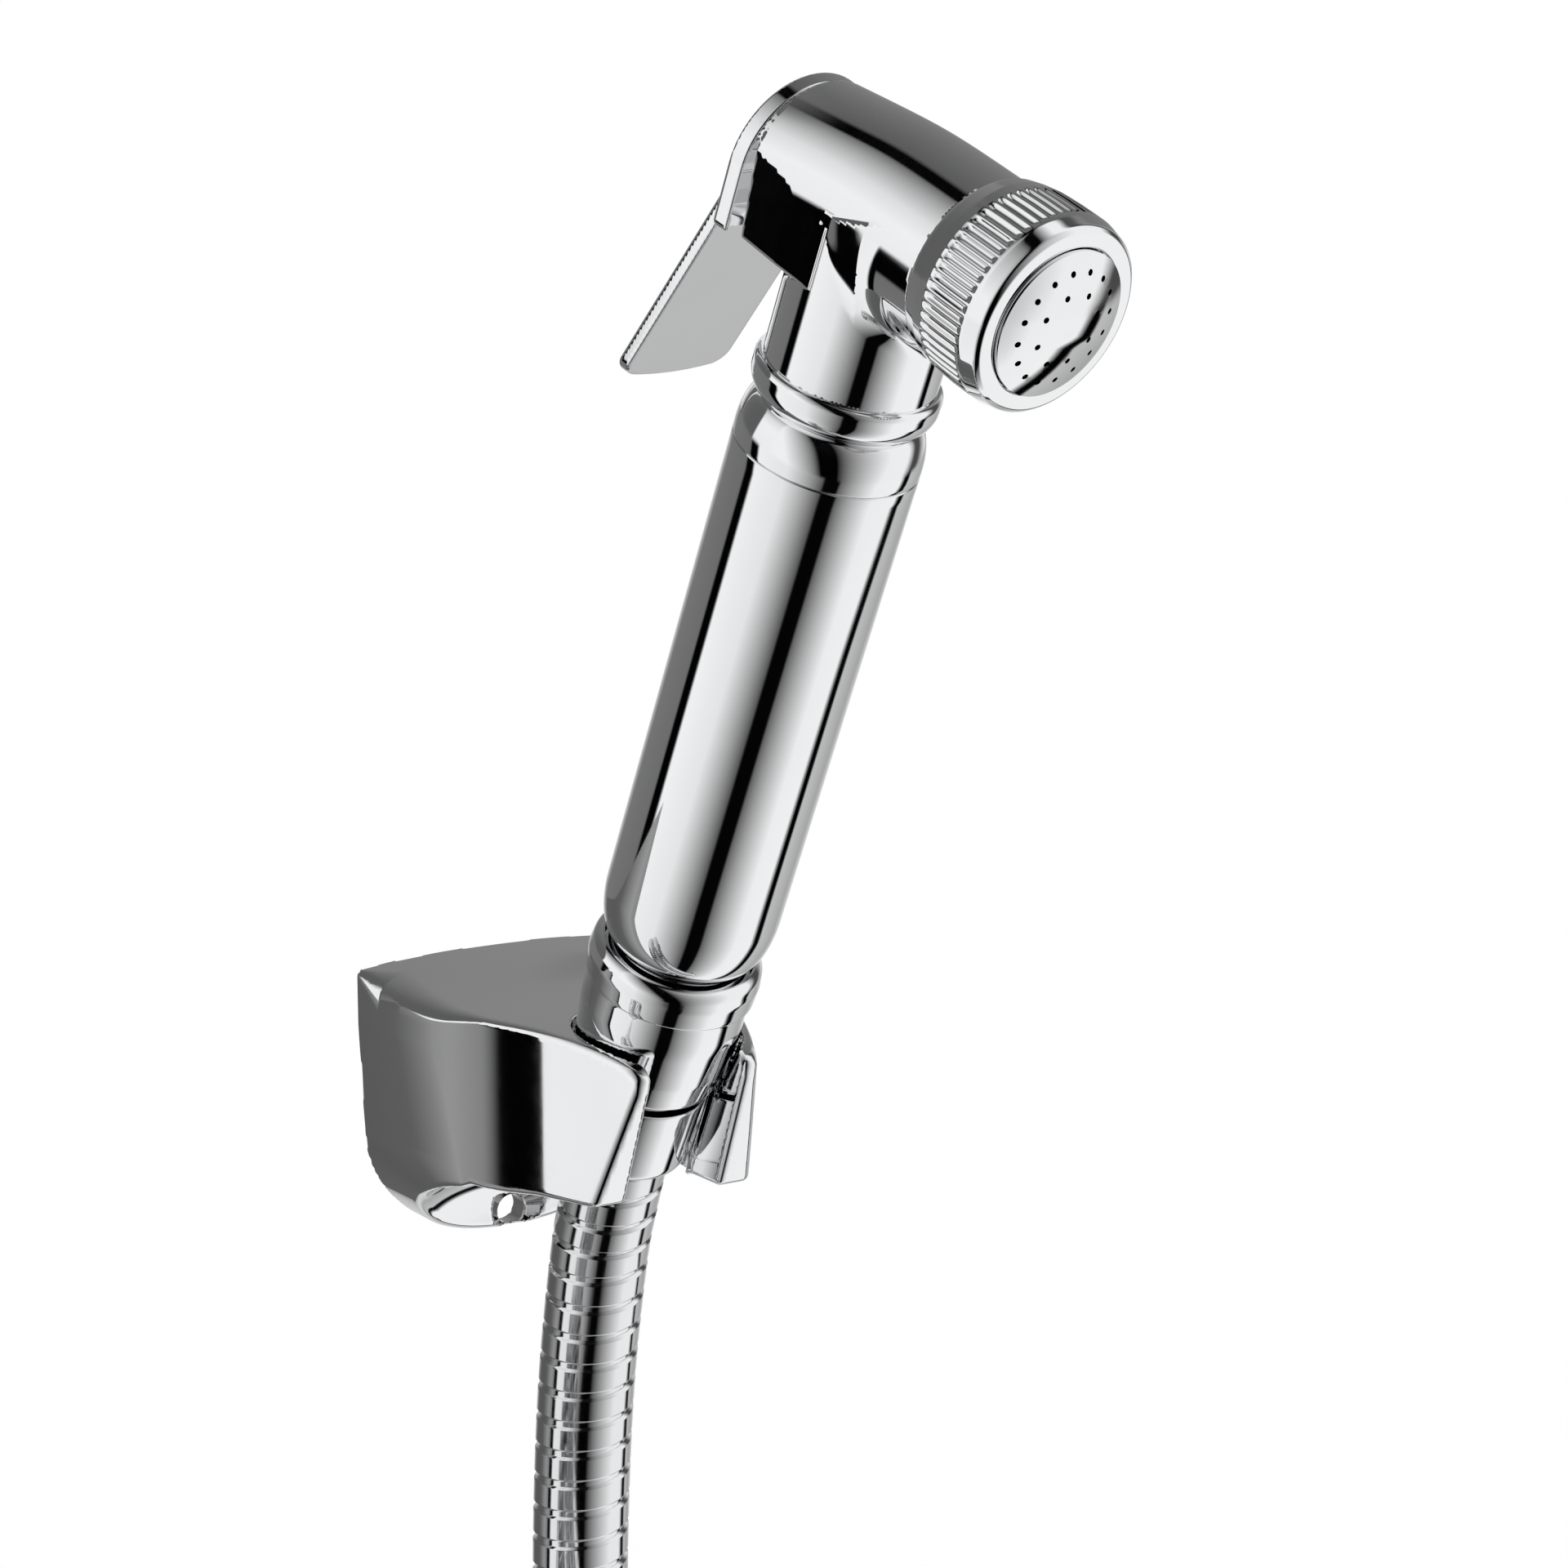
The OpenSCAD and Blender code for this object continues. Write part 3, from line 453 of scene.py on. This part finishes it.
def solid(name, points, faces, normals=None):
    """A smooth-shaded object from points in millimetres and four-sided faces."""
    mesh = bpy.data.meshes.new(name)
    mesh.vertices.add(len(points))
    mesh.vertices.foreach_set("co", (np.asarray(points) / 1000).astype("f").ravel())
    mesh.loops.add(4 * len(faces))
    mesh.loops.foreach_set("vertex_index", np.asarray(faces, "i").ravel())
    mesh.polygons.add(len(faces))
    mesh.polygons.foreach_set("loop_start", np.arange(0, 4 * len(faces), 4, dtype="i"))
    mesh.update(calc_edges=True)
    mesh.validate()
    mesh.polygons.foreach_set("use_smooth", np.ones(len(mesh.polygons), bool))
    if normals is not None:
        mesh.normals_split_custom_set_from_vertices(normals.tolist())
    made = bpy.data.objects.new(name, mesh)
    bpy.context.scene.collection.objects.link(made)
    return made


def fit(made, slot, *replaced, body="body"):
    """Gives a piece its finish, the CAD nodes that it stands for and its body."""
    made.data.materials.append(finishes[slot])
    if replaced:
        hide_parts(*replaced)
    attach(made, body)


# Half widths and heights of plate and fork, and how far the fork reaches out. The plan
# narrows by a power of the distance from the wall, and the hips draw in below hip_top.
plate_hw, fork_hw, plan_power, reach = 23.3, 9.3, 1.9, 57.0
fork_top, fork_low, plate_low, plate_top = 19.4, -4.2, -20.8, 23.0
arch_r, crown_out, hip_top, hip_low, hip_in = 131.0, 24.0, 13.0, -2.5, 1.2
nose_len, nose_h, chin_slope = 22.0, 5.4, 0.4
foot_edge, foot_len, sill_in, sill_out, sill_drop = 5.0, 22.0, 27.0, 40.0, 1.4
# These turn the fields of slanted faces back into distances.
plan_scale, top_scale, front_scale = 0.93, 0.98, 0.928
wall_t, cavity_out, rib_x, rib_z, rib_half, rib_out = 2.2, 27.0, 12.0, -1.0, 0.7, 4.0
cradle_low_r, cradle_r, cradle_h, ledge_r = 10.7, 12.0, 9.0, 9.75
slot_hw, seat_out = 7.3, 42.6
scoop_hw, scoop_r, scoop_h, scoop_out, scoop_z = 28.6, 21.8, 17.5, 27.0, -21.5
screw_r, driver_r, screw_land, screw_zs = 2.2, 4.2, 5.7, (-17.5, 9.5)
screw_boss, driver_boss, sink_depth, sink_over = 2.4, 1.8, 2.0, 1.5


def bracket_body(x, y, z, r=1.0):
    """Outer form: the plan, front and side outlines together."""
    d, wide = -y, np.abs(x)
    half = plate_hw - (plate_hw - fork_hw) * np.clip(d / reach, 0, 1.05) ** plan_power
    plan = (wide - half) * plan_scale
    arch = np.hypot(x, z - plate_top + arch_r) - arch_r
    hips = wide - plate_hw + hip_in * np.clip((hip_top - z) / (hip_top - hip_low), 0, 1)
    bowl = ellipse(x, z - hip_low, plate_hw - hip_in, hip_low - plate_low)
    bowl = np.where(z < hip_low, bowl, hips)
    wave = (1 + np.cos(np.pi * np.clip(d / crown_out, 0, 1))) / 2
    top = (z - fork_top - (plate_top - fork_top) * wave) * top_scale
    nose_z = fork_top - nose_h
    nose = ellipse(d - reach + nose_len, np.maximum(z - nose_z, 0), nose_len, nose_h)
    top = np.where(d > reach - nose_len, nose, top)
    front = (d - reach + chin_slope * (nose_z - z)) * front_scale
    foot = ellipse(np.maximum(d - foot_edge, 0), z - fork_low, foot_len, fork_low - plate_low)
    sill = fork_low - sill_drop * np.clip((sill_out - d) / (sill_out - sill_in), 0, 1)
    under = join(sill - z, np.where(z < fork_low, foot, d - sill_in), 1.0)
    side = meet(meet(top, front, 0.8), under, 0.8)
    # the long edges are tight at the wall, wide on the plate and tighter at the tips
    soft = np.maximum(r, np.minimum(0.8 + 0.7 * d, 6.5 - 0.18 * d))
    return meet(meet(bowl, plan, 2.0), meet(side, arch, 3.0), soft)


def to_handset(x, y, z):
    """The same points in the handset's frame."""
    shape = np.broadcast(x, y, z).shape
    points = np.stack([np.broadcast_to(v, shape) for v in (x, y, z)], -1) - seat
    return np.moveaxis(points @ handset_turn, -1, 0)


def cradle(x, y, z, t=0.0):
    """Cone that the hose nut sits in, above a clear bore."""
    u, v, h = to_handset(x, y, z)
    rho = np.hypot(u, v)
    cone = rho - t - np.interp(h, [0, cradle_h], [cradle_low_r, cradle_r])
    return join(meet(cone, -h - t), rho - ledge_r - t)


def scoop(x, y, z, t=0.0):
    """Bowl round the lower screw that runs across the underside: an ellipse in depth and
    height, whose size falls with the fourth power of x."""
    u, v = (-y - scoop_out) / (scoop_r + t), (z - scoop_z) / (scoop_h + t)
    w = scoop_hw + t
    level = u ** 2 + v ** 2 + (x / w) ** 4 - 1
    steep = np.sqrt((2 * u / scoop_r) ** 2 + (2 * v / scoop_h) ** 2
                    + (4 * np.abs(x) ** 3 / w ** 4) ** 2)
    return level / np.maximum(steep, 0.02)


def bracket_field(x, y, z):
    """The outer form less its hollow back, cradle, hose slot, scoop and screw holes."""
    d = -y
    form = meet(bracket_body(x, y, z), -d)
    inner = meet(bracket_body(x, y, z, 0.5) + wall_t, d - cavity_out, 0.5)
    inner = cut(cut(inner, cradle(x, y, z, wall_t), 0.5), scoop(x, y, z, wall_t), 0.5)
    ribs = join(np.abs(np.abs(x) - rib_x) - rib_half, np.abs(z - rib_z) - rib_half, 0.3)
    ribs = meet(ribs, rib_out - d)
    for z0, r in zip(screw_zs, (screw_r + screw_boss, driver_r + driver_boss)):
        ribs = join(ribs, np.hypot(x, z - z0) - r, 0.4)
    form = cut(form, cut(inner, ribs, 0.2), 0.3)
    form = cut(form, cradle(x, y, z), 0.35)
    slot = meet(np.abs(x) - slot_hw, seat_out - d)
    form = cut(form, slot, 0.9)
    form = cut(form, scoop(x, y, z), 1.5)
    for z0 in screw_zs:
        form = cut(form, np.hypot(x, z - z0) - screw_r, 0.2)
    sink = np.maximum(d - screw_land + sink_depth, 0)
    sink = (np.hypot(x, z - screw_zs[0]) - screw_r - sink) * 0.7
    form = cut(form, meet(sink, d - screw_land - sink_over), 0.2)
    driver = meet(np.hypot(x, z - screw_zs[1]) - driver_r, screw_land - d)
    return cut(form, driver, 0.2)


bracket = net(
    "bracket_skin", bracket_field, (-24.1, -58.1, -23.3), (24.1, 1.1, 24.1), 0.55
)
fit(bracket, "chromed_plastic", "bracket")


# --- Hose nut: a conical nut of chromed brass, turned, with a rounded bead at its upper
# end. It screws onto the handle's end and sits in the bracket's cone.
def rounded(corners, step=0.5, arc=6):
    """Outline through (radius, height, rounding) corners: arcs of a few chords at the
    corners, and straights split into lengths of at most one step."""
    nearly_straight = 1.55
    corners = [np.array(c, float) for c in corners]
    points = [corners[0][:2]]
    for i in range(1, len(corners) - 1):
        here, r = corners[i][:2], corners[i][2]
        before, after = corners[i - 1][:2] - here, corners[i + 1][:2] - here
        before, after = before / np.linalg.norm(before), after / np.linalg.norm(after)
        half = math.acos(np.clip(np.dot(before, after), -1, 1)) / 2
        if r <= 0 or half > nearly_straight:
            points.append(here)
            continue
        middle = (before + after) / np.linalg.norm(before + after)
        centre = here + middle * r / math.sin(half)
        first = here + before * r / math.tan(half) - centre
        last = here + after * r / math.tan(half) - centre
        angle = math.acos(np.clip(np.dot(first, last) / r ** 2, -1, 1))
        for k in range(arc + 1):
            t = k / arc
            points.append(
                centre + (math.sin((1 - t) * angle) * first + math.sin(t * angle) * last)
                / math.sin(angle)
            )
    points.append(corners[-1][:2])
    fine = [points[0]]
    for a, b in zip(points, points[1:]):
        pieces = max(1, math.ceil(np.linalg.norm(b - a) / step))
        fine += [a + (b - a) * k / pieces for k in range(1, pieces + 1)]
    return np.array(fine)


def lathe(name, outline, place, turn, columns=128, shape=None):
    """Closed ring of faces round the z axis from an outline that ends where it starts.
    shape(radius, height, angle) may change the radius. Rows rise, columns turn."""
    angle = 2 * np.pi * np.arange(columns) / columns
    radius, height = outline[:-1, 0, None], outline[:-1, 1, None]
    radius = np.broadcast_to(radius, (len(radius), columns))
    height = np.broadcast_to(height, radius.shape)
    if shape:
        radius = shape(radius, height, angle[None])
    points = np.stack([radius * np.cos(angle), radius * np.sin(angle), height], -1)
    rows = len(points)
    i, j = np.meshgrid(np.arange(rows), np.arange(columns), indexing="ij")
    up, on = (i + 1) % rows, (j + 1) % columns
    faces = np.stack([v.ravel() for v in (
        i * columns + j, i * columns + on, up * columns + on, up * columns + j
    )], 1)
    return solid(name, place + points.reshape(-1, 3) @ turn.T, faces)


nut_h, nut_r, nut_bore, nut_thread_r = 21.0, 11.8, 9.15, 10.4
nut = lathe("nut_skin", rounded([
    (nut_bore, 3, 0), (nut_bore, 0.15, 0.3), (10.1, 0, 0.35), (10.7, 4, 9),
    (11.3, 10.5, 18), (11.2, nut_h - 5.9, 0.3), (nut_r, nut_h - 5.6, 0.3),
    (nut_r + 0.15, nut_h - 2.8, 3.2), (11.6, nut_h - 0.6, 1.6), (10.6, nut_h - 0.05, 0.6),
    (nut_thread_r, nut_h - 0.05, 0), (nut_thread_r, 7, 0), (nut_bore, 7, 0),
    (nut_bore, 3, 0),
]), seat, handset_turn)
fit(nut, "chromed_brass", "hose_nut")

# --- Handle: a turned tube of chromed brass with a narrow waist above the hose nut. Both
# its ends are threaded, the lower one into the nut and the upper one onto the head.
handle_r, handle_bore, handle_low, thread_depth = 12.0, 7.5, 10.1, 9.3
waist_r, groove_h, lower_h = 9.6, 0.9, 7.6
quarter = np.radians(np.linspace(0, 90, 25))
lower_waist = np.stack([
    waist_r + (handle_r - waist_r) * np.sin(quarter),
    nut_h + groove_h + lower_h * (1 - np.cos(quarter)),
], 1)
handle_outline = np.concatenate([
    rounded([
        (handle_bore, handle_low, 0), (10.2, handle_low, 0.3), (10.35, 18.8, 0),
        (waist_r, 19.4, 0), (waist_r, nut_h + groove_h, 0),
    ]),
    lower_waist[1:],
    rounded([
        (handle_r, nut_h + groove_h + lower_h, 0), (handle_r, seam_z, 0.2),
        (9.6, seam_z, 0), (9.6, seam_z - thread_depth + 0.1, 0),
        (handle_bore, seam_z - thread_depth, 0), (handle_bore, handle_low, 0),
    ], 1.5)[1:],
])
handle = lathe("handle_skin", handle_outline, seat, handset_turn)
fit(handle, "chromed_brass", "handle")

# --- Collar: the turned lower end of the brass head, above the seam with the handle. A
# waist and a shoulder lead to the neck, and its spigot carries the handle's thread.
spigot_r, spigot_low, collar_bore, collar_r = 9.5, 9.0, 6.0, 11.9
waist_rise, shoulder_z, shoulder_drop = 5.5, 9.2, 2.8
waist_up = np.stack([
    waist_r + (handle_r - waist_r) * np.cos(quarter),
    seam_z + groove_h + waist_rise * np.sin(quarter),
], 1)
waist_out = np.stack([
    waist_r + (collar_r - waist_r) * np.cos(quarter[::-1]),
    seam_z + shoulder_z - shoulder_drop * np.sin(quarter[::-1]),
], 1)
collar_outline = np.concatenate([
    rounded([
        (collar_bore, seam_z - spigot_low, 0), (spigot_r, seam_z - spigot_low, 0.5),
        (spigot_r, seam_z + 0.02, 0), (handle_r, seam_z + 0.02, 0.2),
        (handle_r, seam_z + groove_h, 0),
    ]),
    waist_up[1:], waist_out[1:],
    rounded([
        (collar_r, seam_z + shoulder_z, 0), (collar_r, seam_z + shoulder_z + 2, 0.9),
        (collar_bore, seam_z + 11.6, 0), (collar_bore, seam_z - spigot_low, 0),
    ])[1:],
])
collar = lathe("collar_skin", collar_outline, seat, handset_turn)
fit(collar, "chromed_brass")

# --- Ferrules: pressed sleeves of chromed brass that grip the hose on its inserts, one
# under the hose nut and one at the water inlet.
ferrule = rounded([
    (7.05, 4.3, 0), (7.05, -14, 0), (9.0, -14, 1.3), (9.4, -1.9, 0.3), (8.0, -1.7, 0.1),
    (8.0, 4.3, 0), (7.05, 4.3, 0),
])
sleeve = lathe("sleeve_skin", ferrule, seat, handset_turn, 96)
fit(sleeve, "chromed_brass", "hose_sleeve")
tail_place = np.array([0, -52.6, -204.0])
sleeve_end = lathe("sleeve_end_skin", ferrule, tail_place, turned("X", 180), 96)
fit(sleeve_end, "chromed_brass", "hose_sleeve_end")

# --- Knurled ring: a turned ring nut of chromed brass with rounded grooves for the
# fingers. It screws onto the barrel's front and clamps the spray plate, which stays CAD.
ring_z0, ring_z1, ring_r, ring_bore, grooves = 15.0, 28.3, 12.45, 10.15, 60
groove_depth, groove_share, grooves_from_r = 0.42, 0.34, 11.7


def knurl(radius, height, angle):
    """Rounded grooves along the ring, which fade out at both ends: half an ellipse across
    each groove, deepest at its middle."""
    phase = (angle * grooves / (2 * np.pi) + 0.5) % 1 - 0.5
    across = np.clip(1 - (phase / groove_share) ** 2, 0, 1) ** 0.5
    low, high = ring_z0 + 4.3, ring_z1 - 3.3
    start = np.clip((height - low + groove_depth) / (2 * groove_depth), 0, 1)
    end = np.clip((high + groove_depth - height) / (2 * groove_depth), 0, 1)
    outside = radius > grooves_from_r
    return radius - groove_depth * across * np.sqrt(start * end) * outside


ring = lathe("ring_skin", rounded([
    (9.4, ring_z1 - 1.2, 0), (ring_bore, ring_z1 - 1.25, 0), (ring_bore, ring_z0, 0),
    (11.4, ring_z0, 0.15), (11.65, ring_z0 + 0.5, 0.4), (12.05, ring_z0 + 2.2, 2),
    (12.35, ring_z0 + 4.3, 3), (ring_r, ring_z0 + 7, 8), (ring_r, ring_z1 - 2.6, 3),
    (11.95, ring_z1 - 0.5, 0.7), (11.4, ring_z1, 0.4), (9.4, ring_z1, 0.25),
    (9.4, ring_z1 - 1.2, 0),
], 0.35), barrel_place, barrel_turn, 720, knurl)
fit(ring, "chromed_brass", "knurled_ring")


# --- Head: a casting of chromed brass that holds the valve. The barrel bends down behind
# the neck and is flat below its back part, the neck runs into it with wide fillets, and
# the bores and the lever's pocket are cut into it.
barrel_r, neck_r, neck_len, front_z = 11.05, 11.0, 21.6, 14.8
bend_z, bend_soft, droop = 0.85, 5.0, 7.3
rear_e, rear_a, flat_y, cheek_z, cheek_slope = 15.7, 15.85, -10.0, -6.5, 0.055
thread_r, thread_z = 10.1, 24.5
pocket_hw, pocket_low, pocket_top, pocket_z = 2.8, -3.0, 8.1, -9.0
waterway_r, beyond = 6.0, 60.0
drooped_turn = turned("X", -droop)


def head_field(x, y, z):
    """Barrel, neck and bores in the barrel's frame. The barrel's axis is a hyperbola, level
    in front and drooping behind, and e is the distance behind along the drooped part."""
    e = -(y * drooped_turn[1, 2] + (z - bend_z) * drooped_turn[2, 2])
    fall = math.tan(math.radians(droop))
    arm = np.sqrt((z - bend_z) ** 2 + bend_soft ** 2)
    axis_y = -fall * (arm - z + bend_z) / 2
    slant = fall * (1 - (z - bend_z) / arm) / 2
    tube = np.hypot(x, (y - axis_y) / np.sqrt(1 + slant ** 2)) - barrel_r
    side = np.abs(x) - barrel_r + cheek_slope * np.clip(cheek_z - z, 0, 10)
    back = meet(join(tube, meet(side, meet(y + 1.5, z))), side)
    plug = np.maximum(-z - rear_a, -z - 15.3 - 0.1 * (y - flat_y))
    plug = meet(back + 0.02, plug)
    back = join(meet(back, e - rear_e, 0.5), meet(plug, 2 - y))
    back = np.where(z > 2, tube, meet(back, flat_y - y, 0.6))
    form = meet(back, z - front_z)
    neck = meet(np.hypot(x, z) - neck_r, meet(y, -neck_len - y))
    # the neck's fillet is widest in front and at the middle of its back
    ahead = np.clip((z - 0.5) / 6, 0, 1)
    crotch = 0.2 + 3 * np.maximum(ahead, np.sqrt(np.clip(1 - (x / 10.5) ** 2, 0, 1)))
    form = join(form, neck, crotch)
    rho = np.hypot(x, y)
    spigot = meet(rho - thread_r, meet(z - thread_z, -z))
    form = meet(join(form, spigot), -z - rear_a)
    # gland, seat, spring chamber, face and lever's mouth: radius, rear end, front end
    bores = meet(np.hypot(x, z) - waterway_r, y)
    for r, rear, front in ((4.5, -beyond, 2), (3.2, 0, beyond), (8.2, 8.5, beyond),
                           (9, 19.8, beyond), (6, -beyond, -11)):
        bores = join(bores, meet(rho - r, meet(rear - z, z - front)))
    pocket = meet(meet(y - pocket_top, pocket_low - y), z - pocket_z)
    pocket = meet(np.abs(x) - pocket_hw, pocket)
    return cut(form, join(bores, pocket), 0.1)


head = net(
    "head_skin", head_field, (-11.8, -23.2, -16.6), (11.8, 11.9, 25.3), 0.37,
    barrel_place, barrel_turn,
)
fit(head, "chromed_brass", "head_body")


# --- Lever: one casting of chromed brass. A thin cap covers the barrel's rear end, a flat
# paddle slants away below it, and a lug inside turns on the hinge pin and pushes the stem.
paddle_hw, paddle_t, paddle_len, paddle_tilt, paddle_out = 8.7, 1.9, 35.4, 19.5, 19.8
paddle_edge, paddle_side, toe_h, toe_sag = 0.6, 0.08, 1.3, 0.8
cap_r, cap_wall, cap_front, cap_back, cap_plate, bend_y = 11.2, 0.65, 16.0, 18.4, 1.2, -4.6
cap_flare, lug_hw, lug_r, pin_y, pin_a, pin_r = 0.07, 2.5, 2.45, 5.5, 13.0, 1.29
arm_low, arm_top, push_a, push_r, tip_r = 3.5, 6.9, 17.6, 1.6, 0.9


def lever_field(x, y, z):
    """Cap, paddle, lug and pusher in the barrel's frame; a is the distance behind."""
    a = -z
    low, foot = flat_y - 0.6, bend_y - paddle_len
    centre = -math.tan(math.radians(droop)) * cap_back
    wide = np.abs(x)
    dome = np.where(y > centre, np.hypot(x, y - centre), wide)
    flare = cap_flare * (cap_back - a)
    cap = meet(meet(dome - cap_r + flare, low - y, 1.0), a - cap_back, 0.4)
    slope = math.tan(math.radians(paddle_tilt))
    skew = math.cos(math.radians(paddle_tilt))
    outer = paddle_out + slope * (bend_y - y)
    inner = outer - paddle_t / skew
    toe = foot + toe_h + toe_sag * (x / 8) ** 2 - y
    blade = meet(wide - paddle_hw + paddle_side * (outer - a), toe, 2.2)
    blade = meet(meet(blade, y - 3), (a - outer) * skew, paddle_edge)
    front = np.where(y > low, cap_front - a, (inner - a) * skew)
    form = meet(join(cap, blade, 0.8), front, 0.3)
    hollow = meet(dome - cap_r + cap_wall, meet(flat_y - 2.2 - y, a - cap_back + cap_plate))
    form = cut(form, meet(hollow, (a - inner) * skew), 0.1)
    pin = np.hypot(y - pin_y, a - pin_a)
    lug = meet(wide - lug_hw, pin - lug_r)
    arm = meet(meet(y - arm_top, arm_low - y), meet(a - push_a, pin_a - a))
    lug = join(lug, meet(wide - lug_hw, arm), 0.2)
    pusher = meet(np.hypot(x, y) - push_r, meet(a - push_a, push_a - 0.7 - a, 0.3))
    tip = np.sqrt(x ** 2 + y ** 2 + (a - push_a + 0.4) ** 2) - tip_r
    form = join(join(join(form, lug, 0.2), pusher, 0.2), tip)
    return cut(form, pin - pin_r)


lever = net(
    "lever_skin", lever_field, (-12.2, -41.2, -34.2), (12.2, 10.2, -9.6), 0.3,
    barrel_place, barrel_turn,
)
fit(lever, "chromed_brass", "lever", body="lever")


# --- Hose: a rubber tube in an armour of bright steel band, wound as a spiral with its
# edges rolled over each other. Ferrules hold both ends, and what the picture doesn't
# show is laid as a coil of two turns.
hose_r, hose_skin, armour_pitch = 7.0, 0.03, 4.7
hose_route = np.array([
    [0, -36.7, 1.2], [0, -32.6, -8.8], [0, -29.5, -18.3], [0, -25.5, -39],
    [0, -23.4, -64], [0, -23.4, -90], [0, -23.4, -118], [0, -23.4, -140],
])
coil_r, coil_z, turns = 80.0, -140.0, 2
tail_y, tail_low = -52.6, -190.9


def through(points, per=24):
    """Points of a smooth curve through given points: a cubic between each two, whose
    slope at a point is that of the line between its neighbours."""
    ends = np.concatenate([2 * points[:1] - points[1:2], points, 2 * points[-1:] - points[-2:-1]])
    t = np.arange(per)[:, None] / per
    parts = []
    for i in range(1, len(ends) - 2):
        p, q = ends[i], ends[i + 1]
        m = (q - ends[i - 1]) / 2
        n = (ends[i + 2] - p) / 2
        parts.append(
            (2 * t ** 3 - 3 * t ** 2 + 1) * p + (t ** 3 - 2 * t ** 2 + t) * m
            + (3 * t ** 2 - 2 * t ** 3) * q + (t ** 3 - t ** 2) * n
        )
    return np.concatenate(parts + [points[-1:]])


around = np.linspace(0, 2 * np.pi * turns, 60 * turns, endpoint=False)[:, None]
start_y = hose_route[-1][1]
coil = np.concatenate([
    coil_r * (np.cos(around) - 1),
    start_y + (tail_y - start_y) * around / (2 * np.pi * turns),
    coil_z - coil_r * np.sin(around),
], 1)
straight = np.array([[0, tail_y, z] for z in np.linspace(coil_z, tail_low, 12)])
line = np.concatenate([through(hose_route)[:-1], coil, straight])
along = np.concatenate([[0], np.cumsum(np.linalg.norm(np.diff(line, axis=0), axis=1))])
hose_length = along[-1]

# The band's groove and ridge sit at shares of one pitch, and each side of the tube is a
# little further along it than the last, which makes the rings a spiral.
sides = 32
beats = np.array([0, 0.03, 0.06, 0.21, 0.24, 0.27, 0.3, 0.94, 0.97])
bands = int(hose_length / armour_pitch) - 2
place = armour_pitch * (np.arange(bands)[:, None] + beats).ravel()
place = place[:, None] + armour_pitch * np.arange(sides) / sides
beat = np.broadcast_to(np.tile(beats, bands)[:, None], place.shape)
groove = np.interp(beat, [0, 0.03, 0.24, 0.27, 0.97, 1], [0.4, 0.5, 0.5, 0.0, 0.0, 0.4])
band_radius = hose_r - hose_skin - groove
centre, before, after = (
    np.stack([np.interp(place + shift, along, line[:, i]) for i in range(3)], -1)
    for shift in (0, -1, 1)
)
ahead = after - before
ahead /= np.linalg.norm(ahead, axis=-1, keepdims=True)
side = np.cross(ahead, [0, 1.0, 0])
side /= np.linalg.norm(side, axis=-1, keepdims=True)
other = np.cross(ahead, side)
spin = (2 * np.pi * np.arange(sides) / sides)[None, :, None]
points = centre + band_radius[..., None] * (np.cos(spin) * side + np.sin(spin) * other)
rows, lead = len(points), len(beats)
i, j = np.meshgrid(np.arange(rows - 1 - lead), np.arange(sides), indexing="ij")
wrap = (j == sides - 1) * lead
on = (j + 1) % sides
faces = np.stack([v.ravel() for v in (
    i * sides + j, (i + wrap) * sides + on, (i + wrap + 1) * sides + on, (i + 1) * sides + j
)], 1)
hose = solid("hose_armour", points.reshape(-1, 3), faces)
fit(hose, "hose_steel", "hose", "hose_coil", "hose_tail")
